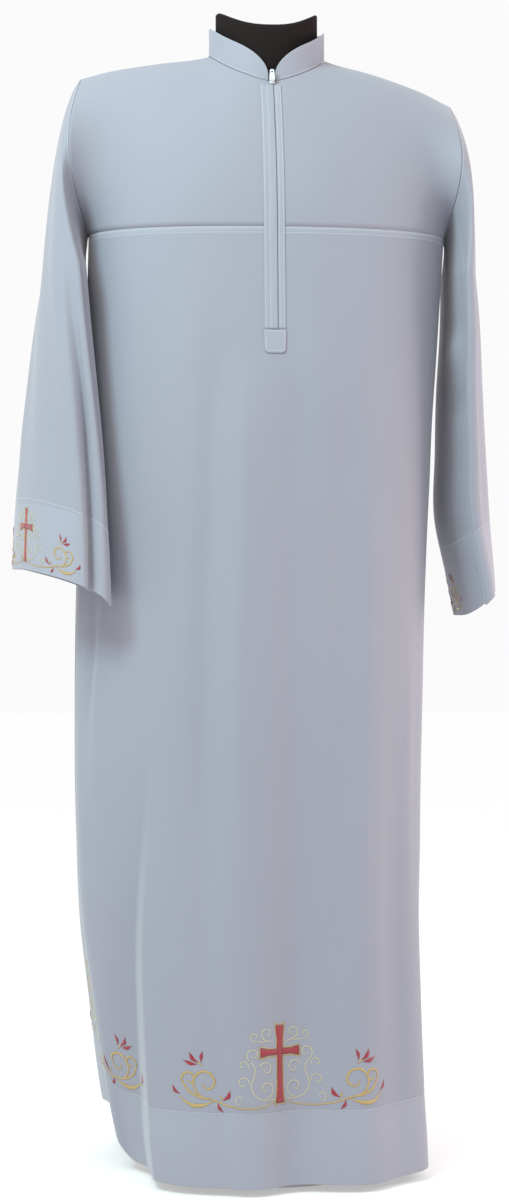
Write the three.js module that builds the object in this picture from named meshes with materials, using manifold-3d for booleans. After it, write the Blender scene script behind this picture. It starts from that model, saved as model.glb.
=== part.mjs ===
// An alb on a limbless dress form: a long white liturgical tunic with a stand collar, a yoke,
// a zip under a fly, set-in sleeves and deep hems, worn by a black torso on a pole and a round foot.
// Millimetres. +Z is up and the wearer faces -Y. The origin is the centre of the foot's underside.
// "Right" and "left" are the wearer's own: the wearer's right is at -X.
import * as THREE from "three";
import Module from "manifold-3d";

// ---- driving dimensions ----------------------------------------------------------------------
const WALL = 1.2; // cloth
const HEM_WALL = 2.2; // cloth turned up and stitched
const SEAM_GAP = 0.3; // between two pieces at a seam
const LIFT = 0.3; // between a panel and what is stitched on it
const HEM_Z = 10; // the hem above the floor, at the front
const HEM_RISE = 24; // how much higher the hem hangs at the back
const HEM_SIDE = 45; // and at the right side
const HEM_DEEP = 90; // turned-up hem of the skirt and of the sleeves
const YOKE_Z = 1196; // the seam below both yokes, level with the underarm
const RIDGE_Y = 4; // the shoulder seam runs this far behind the form's axis
const SHOULDER_HALF = 240; // axis to the top of the armhole
const ARM_BULGE = 80; // the armhole's reach to the front and the back
const ARM_OUT = { right: 22, left: 8 }; // and outwards, halfway down
const SHOULDER = [
  // the ridge line, from the right shoulder tip over the neck to the left one
  { x: -240, z: 1400 },
  { x: -200, z: 1411 },
  { x: -140, z: 1421 },
  { x: -76, z: 1431 },
  { x: 0, z: 1462 },
  { x: 76, z: 1428 },
  { x: 140, z: 1411 },
  { x: 200, z: 1391 },
  { x: 240, z: 1372 },
];
const NECK = { x: 75.2, y: 74, centreY: 2 }; // the neck hole, an ellipse in plan
const COLLAR = { high: 36, sink: -0.5, gap: 4.2, round: 46, endHigh: 7, wall: 1.6 };
const ZIP = { top: 1382, end: 1066, tape: 22, tapeWall: 1 };
const FLY = { from: -15, to: 1.6, wall: 1 };
const FLY_STRIP = { from: 2.5, to: 11.6, wall: 1 };
const FLY_TAB = { from: -16, to: 12.5, top: 1065.7, end: 1036, wall: 1.4 };

// Level sections of the skirt. Each is a rounded box: its reach from the axis to each side,
// how square it is before and behind the axis, and how much its right half widens
// from front to back.
const SKIRT = [
  { z: 10, right: 186, left: 194, front: 192, back: 226, square: 4, squareBack: 2.9, splay: 0.11 },
  { z: 56, right: 197, left: 193, front: 189, back: 222, square: 3.8, squareBack: 2.8, splay: 0.11 },
  { z: 100, right: 206, left: 192, front: 185, back: 218, square: 3.5, squareBack: 2.7, splay: 0.11 },
  { z: 200, right: 222, left: 191, front: 178, back: 207, square: 3.2, squareBack: 2.6, splay: 0.09 },
  { z: 320, right: 240, left: 192, front: 171, back: 193, square: 2.8, squareBack: 2.5, splay: 0.06 },
  { z: 450, right: 247, left: 195, front: 165, back: 180, square: 2.5, squareBack: 2.4, splay: 0.03 },
  { z: 600, right: 248, left: 199, front: 159, back: 167, square: 2.4, squareBack: 2.4, splay: 0 },
  { z: 750, right: 246, left: 203, front: 153, back: 155, square: 2.3, squareBack: 2.3, splay: 0 },
  { z: 900, right: 240, left: 210, front: 147, back: 146, square: 2.3, squareBack: 2.3, splay: 0 },
  { z: 1040, right: 234, left: 220, front: 140, back: 136, square: 2.3, squareBack: 2.3, splay: 0 },
  { z: 1196, right: 230, left: 230, front: 128, back: 122, square: 2.3, squareBack: 2.3, splay: 0 },
];

// Long folds of the skirt: the direction of each from the axis (0 is the front, 90 the wearer's
// left), its half width, its depth at the hem (outwards is positive), where it begins, and how
// far it wanders on its way up.
const SKIRT_FOLDS = [
  { at: -12, half: 13, deep: 7, top: 1010, wander: 6 },
  { at: 6, half: 10, deep: -6, top: 1020, wander: -4 },
  { at: 27, half: 12, deep: 5, top: 700, wander: 4 },
  { at: 44, half: 9, deep: -15, top: 760, wander: 6 },
  { at: 60, half: 9, deep: 7, top: 700, wander: 4 },
  { at: 84, half: 11, deep: -10, top: 800, wander: 3 },
  { at: 108, half: 11, deep: 9, top: 820, wander: -3 },
  { at: 130, half: 10, deep: -12, top: 900, wander: -4 },
  { at: 152, half: 12, deep: 10, top: 900, wander: -4 },
  { at: 176, half: 12, deep: -11, top: 960, wander: 2 },
  { at: 200, half: 12, deep: 10, top: 930, wander: 4 },
  { at: 222, half: 10, deep: -12, top: 900, wander: 4 },
  { at: 243, half: 10, deep: 8, top: 800, wander: 4 },
  { at: 262, half: 10, deep: -7, top: 640, wander: 3 },
  { at: -82, half: 9, deep: 5, top: 640, wander: -3 },
];
// The pleat at the right front: its crisp edge and how that leans with height, how far the cloth
// beyond it lies back, how wide the step and the way out again are, and where it begins.
const PLEAT = { at: -49.3, lean: 0.026, deep: 74, step: 2.4, back: 40, top: 560 };

// Level sections of the two sleeves, from the first full ring below the armhole to the cuff:
// the centre, the half sizes across and along the arm's swing, and the ring's turn.
const SLEEVES = {
  right: {
    side: -1,
    armTop: -240,
    rings: [
      { z: 1150, out: 258, y: -4, across: 28, along: 100, turn: -4 },
      { z: 1080, out: 262, y: -16, across: 31, along: 98, turn: -10 },
      { z: 1000, out: 264, y: -34, across: 34, along: 95, turn: -17 },
      { z: 920, out: 265, y: -54, across: 38, along: 91, turn: -24 },
      { z: 840, out: 266, y: -76, across: 41, along: 88, turn: -30 },
      { z: 710, out: 267, y: -106, across: 46, along: 84, turn: -36 },
    ],
    hem: { low: 710, high: 768, from: 203, to: 316, power: 0.45 },
    pleat: { at: 66, deep: 20, step: 5, back: 52, top: 1180, end: 900 },
    folds: [
      { at: 20, half: 26, deep: 4, top: 1300, end: 900, wander: 0 },
      { at: 50, half: 13, deep: 5, top: 1330, end: 760, wander: 6 },
      { at: 150, half: 14, deep: -8, top: 1300, end: 900, wander: 12 },
      { at: 236, half: 18, deep: -9, top: 1280, end: 740, wander: -14 },
      { at: 284, half: 20, deep: 7, top: 1250, end: 700, wander: -10 },
    ],
  },
  left: {
    side: 1,
    armTop: 240,
    rings: [
      { z: 1150, out: 252, y: 4, across: 17, along: 102, turn: 0 },
      { z: 1080, out: 254, y: 8, across: 20, along: 100, turn: 1 },
      { z: 1000, out: 254, y: 13, across: 24, along: 98, turn: 2 },
      { z: 920, out: 256, y: 18, across: 27, along: 95, turn: 3 },
      { z: 840, out: 259, y: 22, across: 31, along: 91, turn: 4 },
      { z: 760, out: 271, y: 25, across: 25, along: 89, turn: 6 },
      { z: 700, out: 279, y: 27, across: 19, along: 87, turn: 8 },
    ],
    hem: { low: 709, high: 740, from: 255, to: 296, power: 1.3 },
    pleat: { at: 118, deep: 9, step: 9, back: 50, top: 1290, end: 1000 },
    folds: [
      { at: 52, half: 18, deep: -8, top: 1330, end: 760, wander: 4 },
      { at: 92, half: 16, deep: 5, top: 1250, end: 700, wander: 4 },
      { at: 250, half: 20, deep: -8, top: 1280, end: 740, wander: -8 },
      { at: 296, half: 22, deep: 6, top: 1250, end: 700, wander: -6 },
    ],
  },
};
const CAP = { out: 30, down: 30 }; // how the sleeve's head rounds over the shoulder tip

// The dress form.
const FORM = {
  gap: 0.6, // cloth to shoulder
  neck: { x: 66, y: 62 },
  neckTop: 1463,
  neckHorn: 27, // the neck's top rises this much to each side
  bottom: 752,
  rings: [
    { z: 752, x: 150, front: 92, back: 98 },
    { z: 770, x: 166, front: 104, back: 112 },
    { z: 850, x: 172, front: 108, back: 118 },
    { z: 960, x: 160, front: 104, back: 104 },
    { z: 1080, x: 164, front: 108, back: 100 },
    { z: 1200, x: 178, front: 108, back: 100 },
    { z: 1290, x: 192, front: 100, back: 98 },
    { z: 1360, x: 196, front: 92, back: 92 },
    { z: 1440, x: 196, front: 88, back: 88 },
  ],
};
const POLE_R = 16;
const FOOT = { r: 150, high: 6, hubR: 28, hubHigh: 30 };

// ---- small tools -----------------------------------------------------------------------------
const wasm = await Module();
wasm.setup();
const radians = THREE.MathUtils.degToRad;
const smooth = (t) => THREE.MathUtils.smoothstep(t, 0, 1);
const V = (x, y, z) => new THREE.Vector3(x, y, z);
const steps = (from, to, n) => Array.from({ length: n + 1 }, (_, i) => from + ((to - from) * i) / n);

// A column of a table at a place between its rows, on a smooth curve through them.
function along(table, at, where, column) {
  const up = table[table.length - 1][at] > table[0][at];
  const rows = up ? table : [...table].reverse();
  const last = rows.length - 1;
  let i = rows.findIndex((row) => row[at] > where) - 1;
  if (i < 0) i = where <= rows[0][at] ? 0 : last - 1;
  const [a, b] = [rows[i], rows[i + 1]];
  const slope = (k) => {
    const [p, q] = [rows[Math.max(k - 1, 0)], rows[Math.min(k + 1, last)]];
    return (q[column] - p[column]) / (q[at] - p[at]);
  };
  const span = b[at] - a[at];
  const t = THREE.MathUtils.clamp((where - a[at]) / span, 0, 1);
  const [t2, t3] = [t * t, t * t * t];
  return (
    a[column] * (2 * t3 - 3 * t2 + 1) +
    slope(i) * span * (t3 - 2 * t2 + t) +
    b[column] * (3 * t2 - 2 * t3) +
    slope(i + 1) * span * (t3 - t2)
  );
}

// One fold's profile across its width: 1 on its line, 0 at its sides.
function across(degrees, line, half) {
  let off = (degrees - line) % 360;
  if (off > 180) off -= 360;
  if (off < -180) off += 360;
  return Math.abs(off) < half * 2 ? Math.cos((Math.PI * off) / (4 * half)) ** 2 : 0;
}

// ---- the body's surface ----------------------------------------------------------------------
// How far back the cloth lies beyond the pleat's edge.
function pleatDepth(degrees, z) {
  const past = PLEAT.at + PLEAT.lean * z - degrees;
  if (past <= 0 || past >= PLEAT.back) return 0;
  const inward = smooth(past / PLEAT.step) * (1 - smooth((past - PLEAT.step) / (PLEAT.back - PLEAT.step)));
  return PLEAT.deep * inward * smooth((PLEAT.top - z) / PLEAT.top);
}

// A point of the skirt, which goes all round from the hem to the yoke seam.
function skirtPoint(degrees, z) {
  const angle = radians(degrees);
  const [s, c] = [Math.sin(angle), Math.cos(angle)];
  const level = Math.max(z, SKIRT[0].z);
  const wide = along(SKIRT, "z", level, s < 0 ? "right" : "left");
  const deep = along(SKIRT, "z", level, c > 0 ? "front" : "back");
  const square = along(SKIRT, "z", level, c > 0 ? "square" : "squareBack");
  const k = (Math.abs(s) ** square + Math.abs(c) ** square) ** (-1 / square);
  const out = V(deep * s, -wide * c, 0).normalize();
  let moved = 0;
  for (const fold of SKIRT_FOLDS) {
    const line = fold.at + (fold.wander * (z - HEM_Z)) / 1000;
    moved += fold.deep * across(degrees, line, fold.half) * smooth((fold.top - z) / fold.top);
  }
  const y = -deep * c * k + moved * out.y + pleatDepth(degrees, z);
  const splay = s < 0 ? along(SKIRT, "z", level, "splay") : 0;
  const x = (wide * s * k + moved * out.x) * (1 - (splay * deep * c * k) / 200);
  return V(x, y, z);
}

// The hem hangs level at the front, and rises at the right side and towards the back.
const hemAt = (degrees) =>
  HEM_Z + HEM_RISE * smooth((1 - Math.cos(radians(degrees))) / 2) + HEM_SIDE * across(degrees, -104, 22);

// A point above the yoke seam. share is -1 at the right armhole, 0 in the middle and 1 at the
// left armhole; up is 0 at the yoke seam and 1 on the shoulder ridge.
function yokePoint(front, share, up) {
  const low = skirtPoint(front ? 90 * share : 180 - 90 * share, YOKE_Z);
  const ridgeX = SHOULDER_HALF * share;
  const ridge = V(ridgeX, RIDGE_Y, along(SHOULDER, "x", ridgeX, "z"));
  const middle = 1 - Math.abs(share);
  const square = front ? 2.2 - 0.6 * middle : 2.4 + 0.9 * middle;
  const fall = Math.max(1 - up ** square, 0) ** (1 / square);
  const swell = Math.sin(Math.PI * up) * share ** 4;
  const bulge = ARM_BULGE * swell;
  const aside = share < 0 ? -ARM_OUT.right * swell : ARM_OUT.left * swell;
  return V(
    THREE.MathUtils.lerp(low.x, ridge.x, up) + aside,
    ridge.y + (low.y - ridge.y) * fall + (front ? -bulge : bulge),
    THREE.MathUtils.lerp(low.z, ridge.z, up),
  );
}

// Where the yoke's surface meets the neck hole, at a direction from the front.
function neckline(degrees) {
  const front = Math.abs(degrees) <= 90;
  const target = V(
    NECK.x * Math.sin(radians(degrees)),
    NECK.centreY - NECK.y * Math.cos(radians(degrees)),
    0,
  );
  let [share, up] = [target.x / SHOULDER_HALF, 0.8];
  for (let turn = 0; turn < 12; turn++) {
    let [low, high] = [0, 1];
    for (let i = 0; i < 24; i++) {
      up = (low + high) / 2;
      const beyond = front ? yokePoint(front, share, up).y < target.y : yokePoint(front, share, up).y > target.y;
      if (beyond) low = up;
      else high = up;
    }
    share += (target.x - yokePoint(front, share, up).x) / SHOULDER_HALF;
  }
  return { share, up, z: yokePoint(front, share, up).z };
}

// The front's surface over a point of the middle, for what is stitched on it or hangs behind it.
function frontPoint(x, z) {
  if (z < YOKE_Z) {
    let degrees = 0;
    for (let i = 0; i < 8; i++) degrees += THREE.MathUtils.radToDeg((x - skirtPoint(degrees, z).x) / 200);
    return skirtPoint(degrees, z);
  }
  let [share, up] = [0, 0];
  for (let i = 0; i < 8; i++) {
    up = (z - YOKE_Z) / (along(SHOULDER, "x", SHOULDER_HALF * share, "z") - YOKE_Z);
    share += (x - yokePoint(true, share, up).x) / SHOULDER_HALF;
  }
  return yokePoint(true, share, up);
}

// ---- solids from grids -----------------------------------------------------------------------
// Normals of a grid of points, by its neighbours.
function gridNormals(grid, closed) {
  const [rows, columns] = [grid.length, grid[0].length];
  return grid.map((row, i) =>
    row.map((_, j) => {
      const [above, below] = [grid[Math.min(i + 1, rows - 1)][j], grid[Math.max(i - 1, 0)][j]];
      const next = closed ? row[(j + 1) % columns] : row[Math.min(j + 1, columns - 1)];
      const last = closed ? row[(j + columns - 1) % columns] : row[Math.max(j - 1, 0)];
      return next.clone().sub(last).cross(above.clone().sub(below)).normalize();
    }),
  );
}

// A closed wall between two grids of the same shape: rows go up, and columns go round
// anticlockwise seen from above, so the first grid is the outer one.
function wallGeometry(outer, inner, closed) {
  const [rows, columns] = [outer.length, outer[0].length];
  const at = (side, i, j) => (side * rows + i) * columns + (j % columns);
  const faces = [];
  const quad = (a, b, c, d) => faces.push(a, b, c, a, c, d);
  const across = closed ? columns : columns - 1;
  for (let j = 0; j < across; j++) {
    for (let i = 0; i < rows - 1; i++) {
      quad(at(0, i, j), at(0, i, j + 1), at(0, i + 1, j + 1), at(0, i + 1, j));
      quad(at(1, i, j), at(1, i + 1, j), at(1, i + 1, j + 1), at(1, i, j + 1));
    }
    quad(at(0, 0, j), at(1, 0, j), at(1, 0, j + 1), at(0, 0, j + 1));
    quad(at(0, rows - 1, j), at(0, rows - 1, j + 1), at(1, rows - 1, j + 1), at(1, rows - 1, j));
  }
  for (let i = 0; i < rows - 1 && !closed; i++) {
    const end = columns - 1;
    quad(at(0, i, 0), at(0, i + 1, 0), at(1, i + 1, 0), at(1, i, 0));
    quad(at(0, i, end), at(1, i, end), at(1, i + 1, end), at(0, i + 1, end));
  }
  const positions = [...outer.flat(), ...inner.flat()].flatMap((p) => [p.x, p.y, p.z]);
  const geometry = new THREE.BufferGeometry();
  geometry.setAttribute("position", new THREE.Float32BufferAttribute(positions, 3));
  geometry.setIndex(faces);
  return geometry;
}

// Cloth whose outer side is the grid. wall gives its thickness at a row and column, and inwards
// may give another direction for an edge than the surface's own.
function cloth(grid, { closed = false, wall = () => WALL, inwards = () => null } = {}) {
  const normals = gridNormals(grid, closed);
  const inner = grid.map((row, i) =>
    row.map((p, j) => {
      const way = inwards(i, j) ?? normals[i][j].clone().negate();
      return p.clone().addScaledVector(way, wall(i, j));
    }),
  );
  return wallGeometry(grid, inner, closed);
}

// A strip stitched on a panel: the panel's points moved out, and its wall beyond them.
function strip(grid, wall, lift) {
  const normals = gridNormals(grid, false);
  const moved = (by) => grid.map((row, i) => row.map((p, j) => p.clone().addScaledVector(normals[i][j], by)));
  return wallGeometry(moved(lift + wall), moved(lift), false);
}

function toManifold(geometry) {
  const solid = new wasm.Mesh({
    numProp: 3,
    vertProperties: new Float32Array(geometry.getAttribute("position").array),
    triVerts: new Uint32Array(geometry.getIndex().array),
  });
  return new wasm.Manifold(solid);
}

function fromManifold(solid) {
  const mesh = solid.getMesh();
  const geometry = new THREE.BufferGeometry();
  geometry.setAttribute("position", new THREE.Float32BufferAttribute(mesh.vertProperties, 3));
  geometry.setIndex([...mesh.triVerts]);
  return geometry;
}

// ---- the garment's pieces --------------------------------------------------------------------
const MATERIALS = {
  cloth: new THREE.MeshStandardMaterial({ color: 0xdfe5ec, roughness: 0.85, metalness: 0 }),
  trim: new THREE.MeshStandardMaterial({ color: 0xe4e9ee, roughness: 0.8, metalness: 0 }),
  zip: new THREE.MeshStandardMaterial({ color: 0xe8e8e6, roughness: 0.4, metalness: 0 }),
  form: new THREE.MeshStandardMaterial({ color: 0x1b1716, roughness: 0.8, metalness: 0 }),
  stand: new THREE.MeshStandardMaterial({ color: 0x8d9094, roughness: 0.35, metalness: 0.9 }),
};
const alb = new THREE.Group();

function add(name, geometry, material) {
  const mesh = new THREE.Mesh(geometry, material);
  mesh.name = name;
  alb.add(mesh);
  return mesh;
}

// The heights of a panel's rows at one column: close together in the turned-up hem.
const SKIRT_ROWS = [0, 0.5, 1, 1.02];
function skirtHeights(degrees) {
  const hem = hemAt(degrees);
  const top = YOKE_Z - SEAM_GAP / 2;
  const low = SKIRT_ROWS.map((share) => hem + HEM_DEEP * share);
  const rest = steps(0, 1, 15).slice(1).map((t) => low[3] + (top - low[3]) * t ** 1.15);
  return [...low, ...rest];
}

function skirtPanel(from, to, count) {
  const slack = THREE.MathUtils.radToDeg(SEAM_GAP / 2 / 200);
  const columns = steps(from + slack, to - slack, count);
  const grid = skirtHeights(0).map((_, i) => columns.map((d) => skirtPoint(d, skirtHeights(d)[i])));
  return cloth(grid, {
    wall: (i) => (i < 3 ? HEM_WALL : WALL),
    inwards: (i, j) => {
      const [left, right] = [grid[i][Math.max(j - 1, 0)], grid[i][Math.min(j + 1, count)]];
      const level = right.clone().sub(left).cross(V(0, 0, 1)).normalize();
      return level.negate();
    },
  });
}

// The lower front has a slit in the middle for the zip.
function lowerFront() {
  const slit = new THREE.BoxGeometry(0.6, 60, YOKE_Z - ZIP.end + 2);
  slit.deleteAttribute("normal");
  slit.deleteAttribute("uv");
  slit.translate(0, -SKIRT[9].front - 5, (YOKE_Z + ZIP.end) / 2 + 1);
  return toManifold(skirtPanel(-90, 90, 42)).subtract(boxManifold(slit));
}

function boxManifold(box) {
  const corners = box.getAttribute("position");
  const seen = new Map();
  const points = [];
  const index = [...box.getIndex().array].map((i) => {
    const key = [corners.getX(i), corners.getY(i), corners.getZ(i)].map((n) => n.toFixed(3)).join();
    if (!seen.has(key)) {
      seen.set(key, points.length / 3);
      points.push(corners.getX(i), corners.getY(i), corners.getZ(i));
    }
    return seen.get(key);
  });
  const merged = new THREE.BufferGeometry();
  merged.setAttribute("position", new THREE.Float32BufferAttribute(points, 3));
  merged.setIndex(index);
  return toManifold(merged);
}

// A panel above the yoke seam. Its columns run from the seam to the neck hole or the shoulder
// seam, and the outermost one is the armhole's edge.
function upperPanel(front, columns) {
  const apart = front ? -SEAM_GAP / 2 : SEAM_GAP / 2;
  const ups = steps(0, 1, 9).map((t) => Math.sin((t * Math.PI) / 2));
  const grid = ups.map((up, i) =>
    columns.map((column) => {
      const p = yokePoint(front, column.share, up * column.end);
      p.y += apart;
      if (i === 0) p.z += SEAM_GAP / 2;
      if (column.fixedX !== undefined) p.x = column.fixedX;
      return p;
    }),
  );
  const last = columns.length - 1;
  const centre = V(0, RIDGE_Y, 1300);
  return cloth(grid, {
    inwards: (i, j) => {
      if (i === 9) return V(0, 0, -1);
      const edge = Math.abs(Math.abs(columns[j].share) - 1) < 1e-6;
      if (edge && i === 0) return V(0, 0, 1);
      if (edge) {
        const [a, b] = [grid[Math.max(i - 1, 0)][j], grid[Math.min(i + 1, 9)][j]];
        const way = V(0, b.z - a.z, a.y - b.y).normalize();
        return way.dot(centre.clone().sub(grid[i][j])) < 0 ? way.negate() : way;
      }
      if (i > 0) return null;
      const [a, b] = [grid[0][Math.max(j - 1, 0)], grid[0][Math.min(j + 1, last)]];
      return b.clone().sub(a).cross(V(0, 0, 1)).normalize().negate();
    },
  });
}

// Columns between the middle and an armhole, in order from the wearer's right to left at the
// front, and the other way at the back.
function upperColumns(front, side) {
  const neckSteps = [0, 15, 30, 45, 60, 72, 82, 90];
  const neck = neckSteps.map((d) => {
    const turn = side * (front ? d : 180 - d);
    const found = neckline(turn);
    return { share: found.share, end: d === 90 ? 1 : found.up };
  });
  const shoulder = steps(neck[7].share, side, 7).slice(1).map((share) => ({ share, end: 1 }));
  return [...neck, ...shoulder];
}

function frontYoke(side) {
  const columns = upperColumns(true, side);
  columns[0].fixedX = (side * SEAM_GAP) / 2;
  return upperPanel(true, side > 0 ? columns : columns.reverse());
}

function backYoke() {
  const right = upperColumns(false, -1);
  const left = upperColumns(false, 1).slice(1);
  return upperPanel(false, [...right.reverse(), ...left].reverse());
}

add("front", fromManifold(lowerFront()), MATERIALS.cloth);
add("back", skirtPanel(90, 270, 34), MATERIALS.cloth);
add("yoke_front_right", frontYoke(-1), MATERIALS.cloth);
add("yoke_front_left", frontYoke(1), MATERIALS.cloth);
add("yoke_back", backYoke(), MATERIALS.cloth);

// The stand collar: a band in the neck hole whose front ends are rounded off.
function collar() {
  const perDegree = (Math.PI * NECK.x) / 180;
  const start = COLLAR.gap / perDegree;
  const ends = [0, 2, 5, 10, 17, 26, 36].map((d) => start + d);
  const middle = steps(50, 310, 16);
  const columns = [...ends, ...middle, ...ends.map((d) => 360 - d).reverse()];
  const grid = steps(0, 1, 3).map((t) =>
    columns.map((d) => {
      const fromEnd = Math.max((Math.min(d, 360 - d) - start) * perDegree, 0);
      const rest = Math.max(1 - fromEnd / COLLAR.round, 0);
      const high = COLLAR.endHigh + (COLLAR.high - COLLAR.endHigh) * Math.sqrt(1 - rest ** 2.4);
      const turn = d > 180 ? d - 360 : d;
      const out = -SEAM_GAP;
      return V(
        (NECK.x + out) * Math.sin(radians(turn)),
        NECK.centreY - (NECK.y + out) * Math.cos(radians(turn)),
        neckline(turn).z - COLLAR.sink + (high + COLLAR.sink) * t,
      );
    }),
  );
  return cloth(grid, {
    wall: () => COLLAR.wall,
    inwards: (i, j) => V(-Math.sin(radians(columns[j])), Math.cos(radians(columns[j])), 0),
  });
}
add("collar", collar(), MATERIALS.trim);

// The fly over the zip, the stitched strip beside it, the tab below both, and the zip's tape.
function middleGrid(from, to, top, end, columns, rows) {
  return steps(end, top, rows).map((z) => steps(from, to, columns).map((x) => frontPoint(x, z)));
}
add("placket_fly", strip(middleGrid(FLY.from, FLY.to, ZIP.top, ZIP.end, 2, 22), FLY.wall, LIFT), MATERIALS.trim);
add(
  "placket_strip",
  strip(middleGrid(FLY_STRIP.from, FLY_STRIP.to, ZIP.top, ZIP.end, 1, 22), FLY_STRIP.wall, LIFT),
  MATERIALS.trim,
);
add(
  "placket_tab",
  strip(middleGrid(FLY_TAB.from, FLY_TAB.to, FLY_TAB.top, FLY_TAB.end, 3, 3), FLY_TAB.wall, LIFT),
  MATERIALS.trim,
);
add(
  "zip_tape",
  strip(
    middleGrid(-ZIP.tape / 2, ZIP.tape / 2, ZIP.top - 2, ZIP.end, 2, 22),
    ZIP.tapeWall,
    -WALL - LIFT - ZIP.tapeWall - 0.3,
  ),
  MATERIALS.zip,
);

// ---- the sleeves -----------------------------------------------------------------------------
function sleeveRing(sleeve, turn, z) {
  const at = (column) => along(sleeve.rings, "z", z, column);
  const [a, b, twist] = [at("across"), at("along"), radians(at("turn"))];
  const angle = radians(turn);
  const [c, s] = [Math.cos(angle), Math.sin(angle)];
  let moved = 0;
  for (const fold of sleeve.folds) {
    const run = (fold.top - z) / (fold.top - fold.end);
    const share = smooth(Math.min(run, 0.35) / 0.35);
    moved += fold.deep * share * across(turn, fold.at + fold.wander * run, fold.half);
  }
  const { pleat } = sleeve;
  const past = turn - pleat.at;
  if (past > 0 && past < pleat.back) {
    const inward = smooth(past / pleat.step) * (1 - smooth((past - pleat.step) / (pleat.back - pleat.step)));
    moved -= pleat.deep * inward * smooth((pleat.top - z) / (pleat.top - pleat.end));
  }
  const out = V(b * c, -a * s, 0).normalize();
  const [x, y] = [a * c + moved * out.x, -b * s + moved * out.y];
  return V(
    sleeve.side * (at("out") + x * Math.cos(twist) - y * Math.sin(twist)),
    at("y") + x * Math.sin(twist) + y * Math.cos(twist),
    z,
  );
}

function armholePoint(sleeve, turn) {
  const front = turn <= 180;
  const down = (front ? turn : 360 - turn) / 180;
  const up = (1 + Math.cos(Math.PI * down)) / 2;
  const p = yokePoint(front, sleeve.side, up);
  p.x += sleeve.side * SEAM_GAP;
  return p;
}

function sleeveHem(sleeve, turn) {
  const { low, high, from, to, power } = sleeve.hem;
  const out = Math.abs(sleeveRing(sleeve, turn, (low + high) / 2).x);
  return low + (high - low) * THREE.MathUtils.clamp((out - from) / (to - from), 0, 1) ** power;
}

// A point of a sleeve kept just clear of the skirt it hangs against.
function clearOfSkirt(p) {
  if (p.z >= YOKE_Z) return p;
  const wide = along(SKIRT, "z", p.z, p.x < 0 ? "right" : "left");
  const deep = along(SKIRT, "z", p.z, p.y < 0 ? "front" : "back");
  const reach = wide * (1 + (along(SKIRT, "z", p.z, "splay") * p.y) / 200);
  const angle = THREE.MathUtils.radToDeg(Math.atan2(p.x / reach, -p.y / deep));
  const edge = skirtPoint(angle, p.z);
  const clear = Math.hypot(edge.x, edge.y) + Math.min(4, SEAM_GAP + (YOKE_Z - p.z) * 0.12);
  const out = Math.hypot(p.x, p.y);
  if (out < clear) {
    p.x *= clear / out;
    p.y *= clear / out;
  }
  return p;
}

// A point of a sleeve. down is -1 at the armhole, 0 at the first full ring, 1 at the cuff's hem.
function sleevePoint(sleeve, turn, down) {
  const first = sleeve.rings[0].z;
  if (down >= 0) {
    return clearOfSkirt(sleeveRing(sleeve, turn, first + (sleeveHem(sleeve, turn) - first) * down));
  }
  const t = down + 1;
  const seam = armholePoint(sleeve, turn);
  const ring = sleeveRing(sleeve, turn, first);
  const head = (1 + Math.cos(radians(turn))) / 2;
  const bend = seam.clone().add(V(sleeve.side * CAP.out * head + sleeve.side * 3, 0, -CAP.down * head - 8));
  return clearOfSkirt(
    seam
      .multiplyScalar((1 - t) ** 2)
      .addScaledVector(bend, 2 * t * (1 - t))
      .addScaledVector(ring, t * t),
  );
}

function sleeveSolid(sleeve) {
  const count = 36;
  const turns = steps(0, 360, count).slice(0, count);
  const ordered = sleeve.side < 0 ? turns : [...turns].reverse();
  const hemShare = 1 - HEM_DEEP / (sleeve.rings[0].z - (sleeve.hem.low + sleeve.hem.high) / 2);
  const cap = [0, 0.1, 0.24, 0.42, 0.62, 0.82].map((t) => t - 1);
  const arm = steps(0, hemShare, 9);
  const cuff = [hemShare + 0.006, (1 + hemShare) / 2, 1];
  const downs = [...cap, ...arm, ...cuff].reverse();
  const grid = downs.map((down) => ordered.map((turn) => sleevePoint(sleeve, turn, down)));
  const top = downs.length - 1;
  const middle = V(0, RIDGE_Y, (YOKE_Z + along(SHOULDER, "x", sleeve.armTop, "z")) / 2);
  return cloth(grid, {
    closed: true,
    wall: (i) => (i < 3 ? HEM_WALL : WALL),
    inwards: (i, j) => {
      if (i < top) return null;
      const [a, b] = [grid[i][(j + count - 1) % count], grid[i][(j + 1) % count]];
      const way = V(0, b.z - a.z, a.y - b.y).normalize();
      return way.dot(middle.clone().sub(grid[i][j])) < 0 ? way.negate() : way;
    },
  });
}
add("sleeve_right", sleeveSolid(SLEEVES.right), MATERIALS.cloth);
add("sleeve_left", sleeveSolid(SLEEVES.left), MATERIALS.cloth);


// ---- the dress form and its stand ------------------------------------------------------------
function formRings() {
  const count = 32;
  const heights = [752, 758, 772, 820, 880, 950, 1020, 1100, 1180, 1250, 1310, 1370, 1440];
  return heights.map((z) =>
    steps(0, 360, count).slice(0, count).map((d) => {
      const [s, c] = [Math.sin(radians(d)), Math.cos(radians(d))];
      const wide = along(FORM.rings, "z", z, "x");
      const deep = along(FORM.rings, "z", z, c > 0 ? "front" : "back");
      const k = (Math.abs(s) ** 2.3 + Math.abs(c) ** 2.3) ** (-1 / 2.3);
      return V(wide * s * k, -deep * c * k, z);
    }),
  );
}

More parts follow.
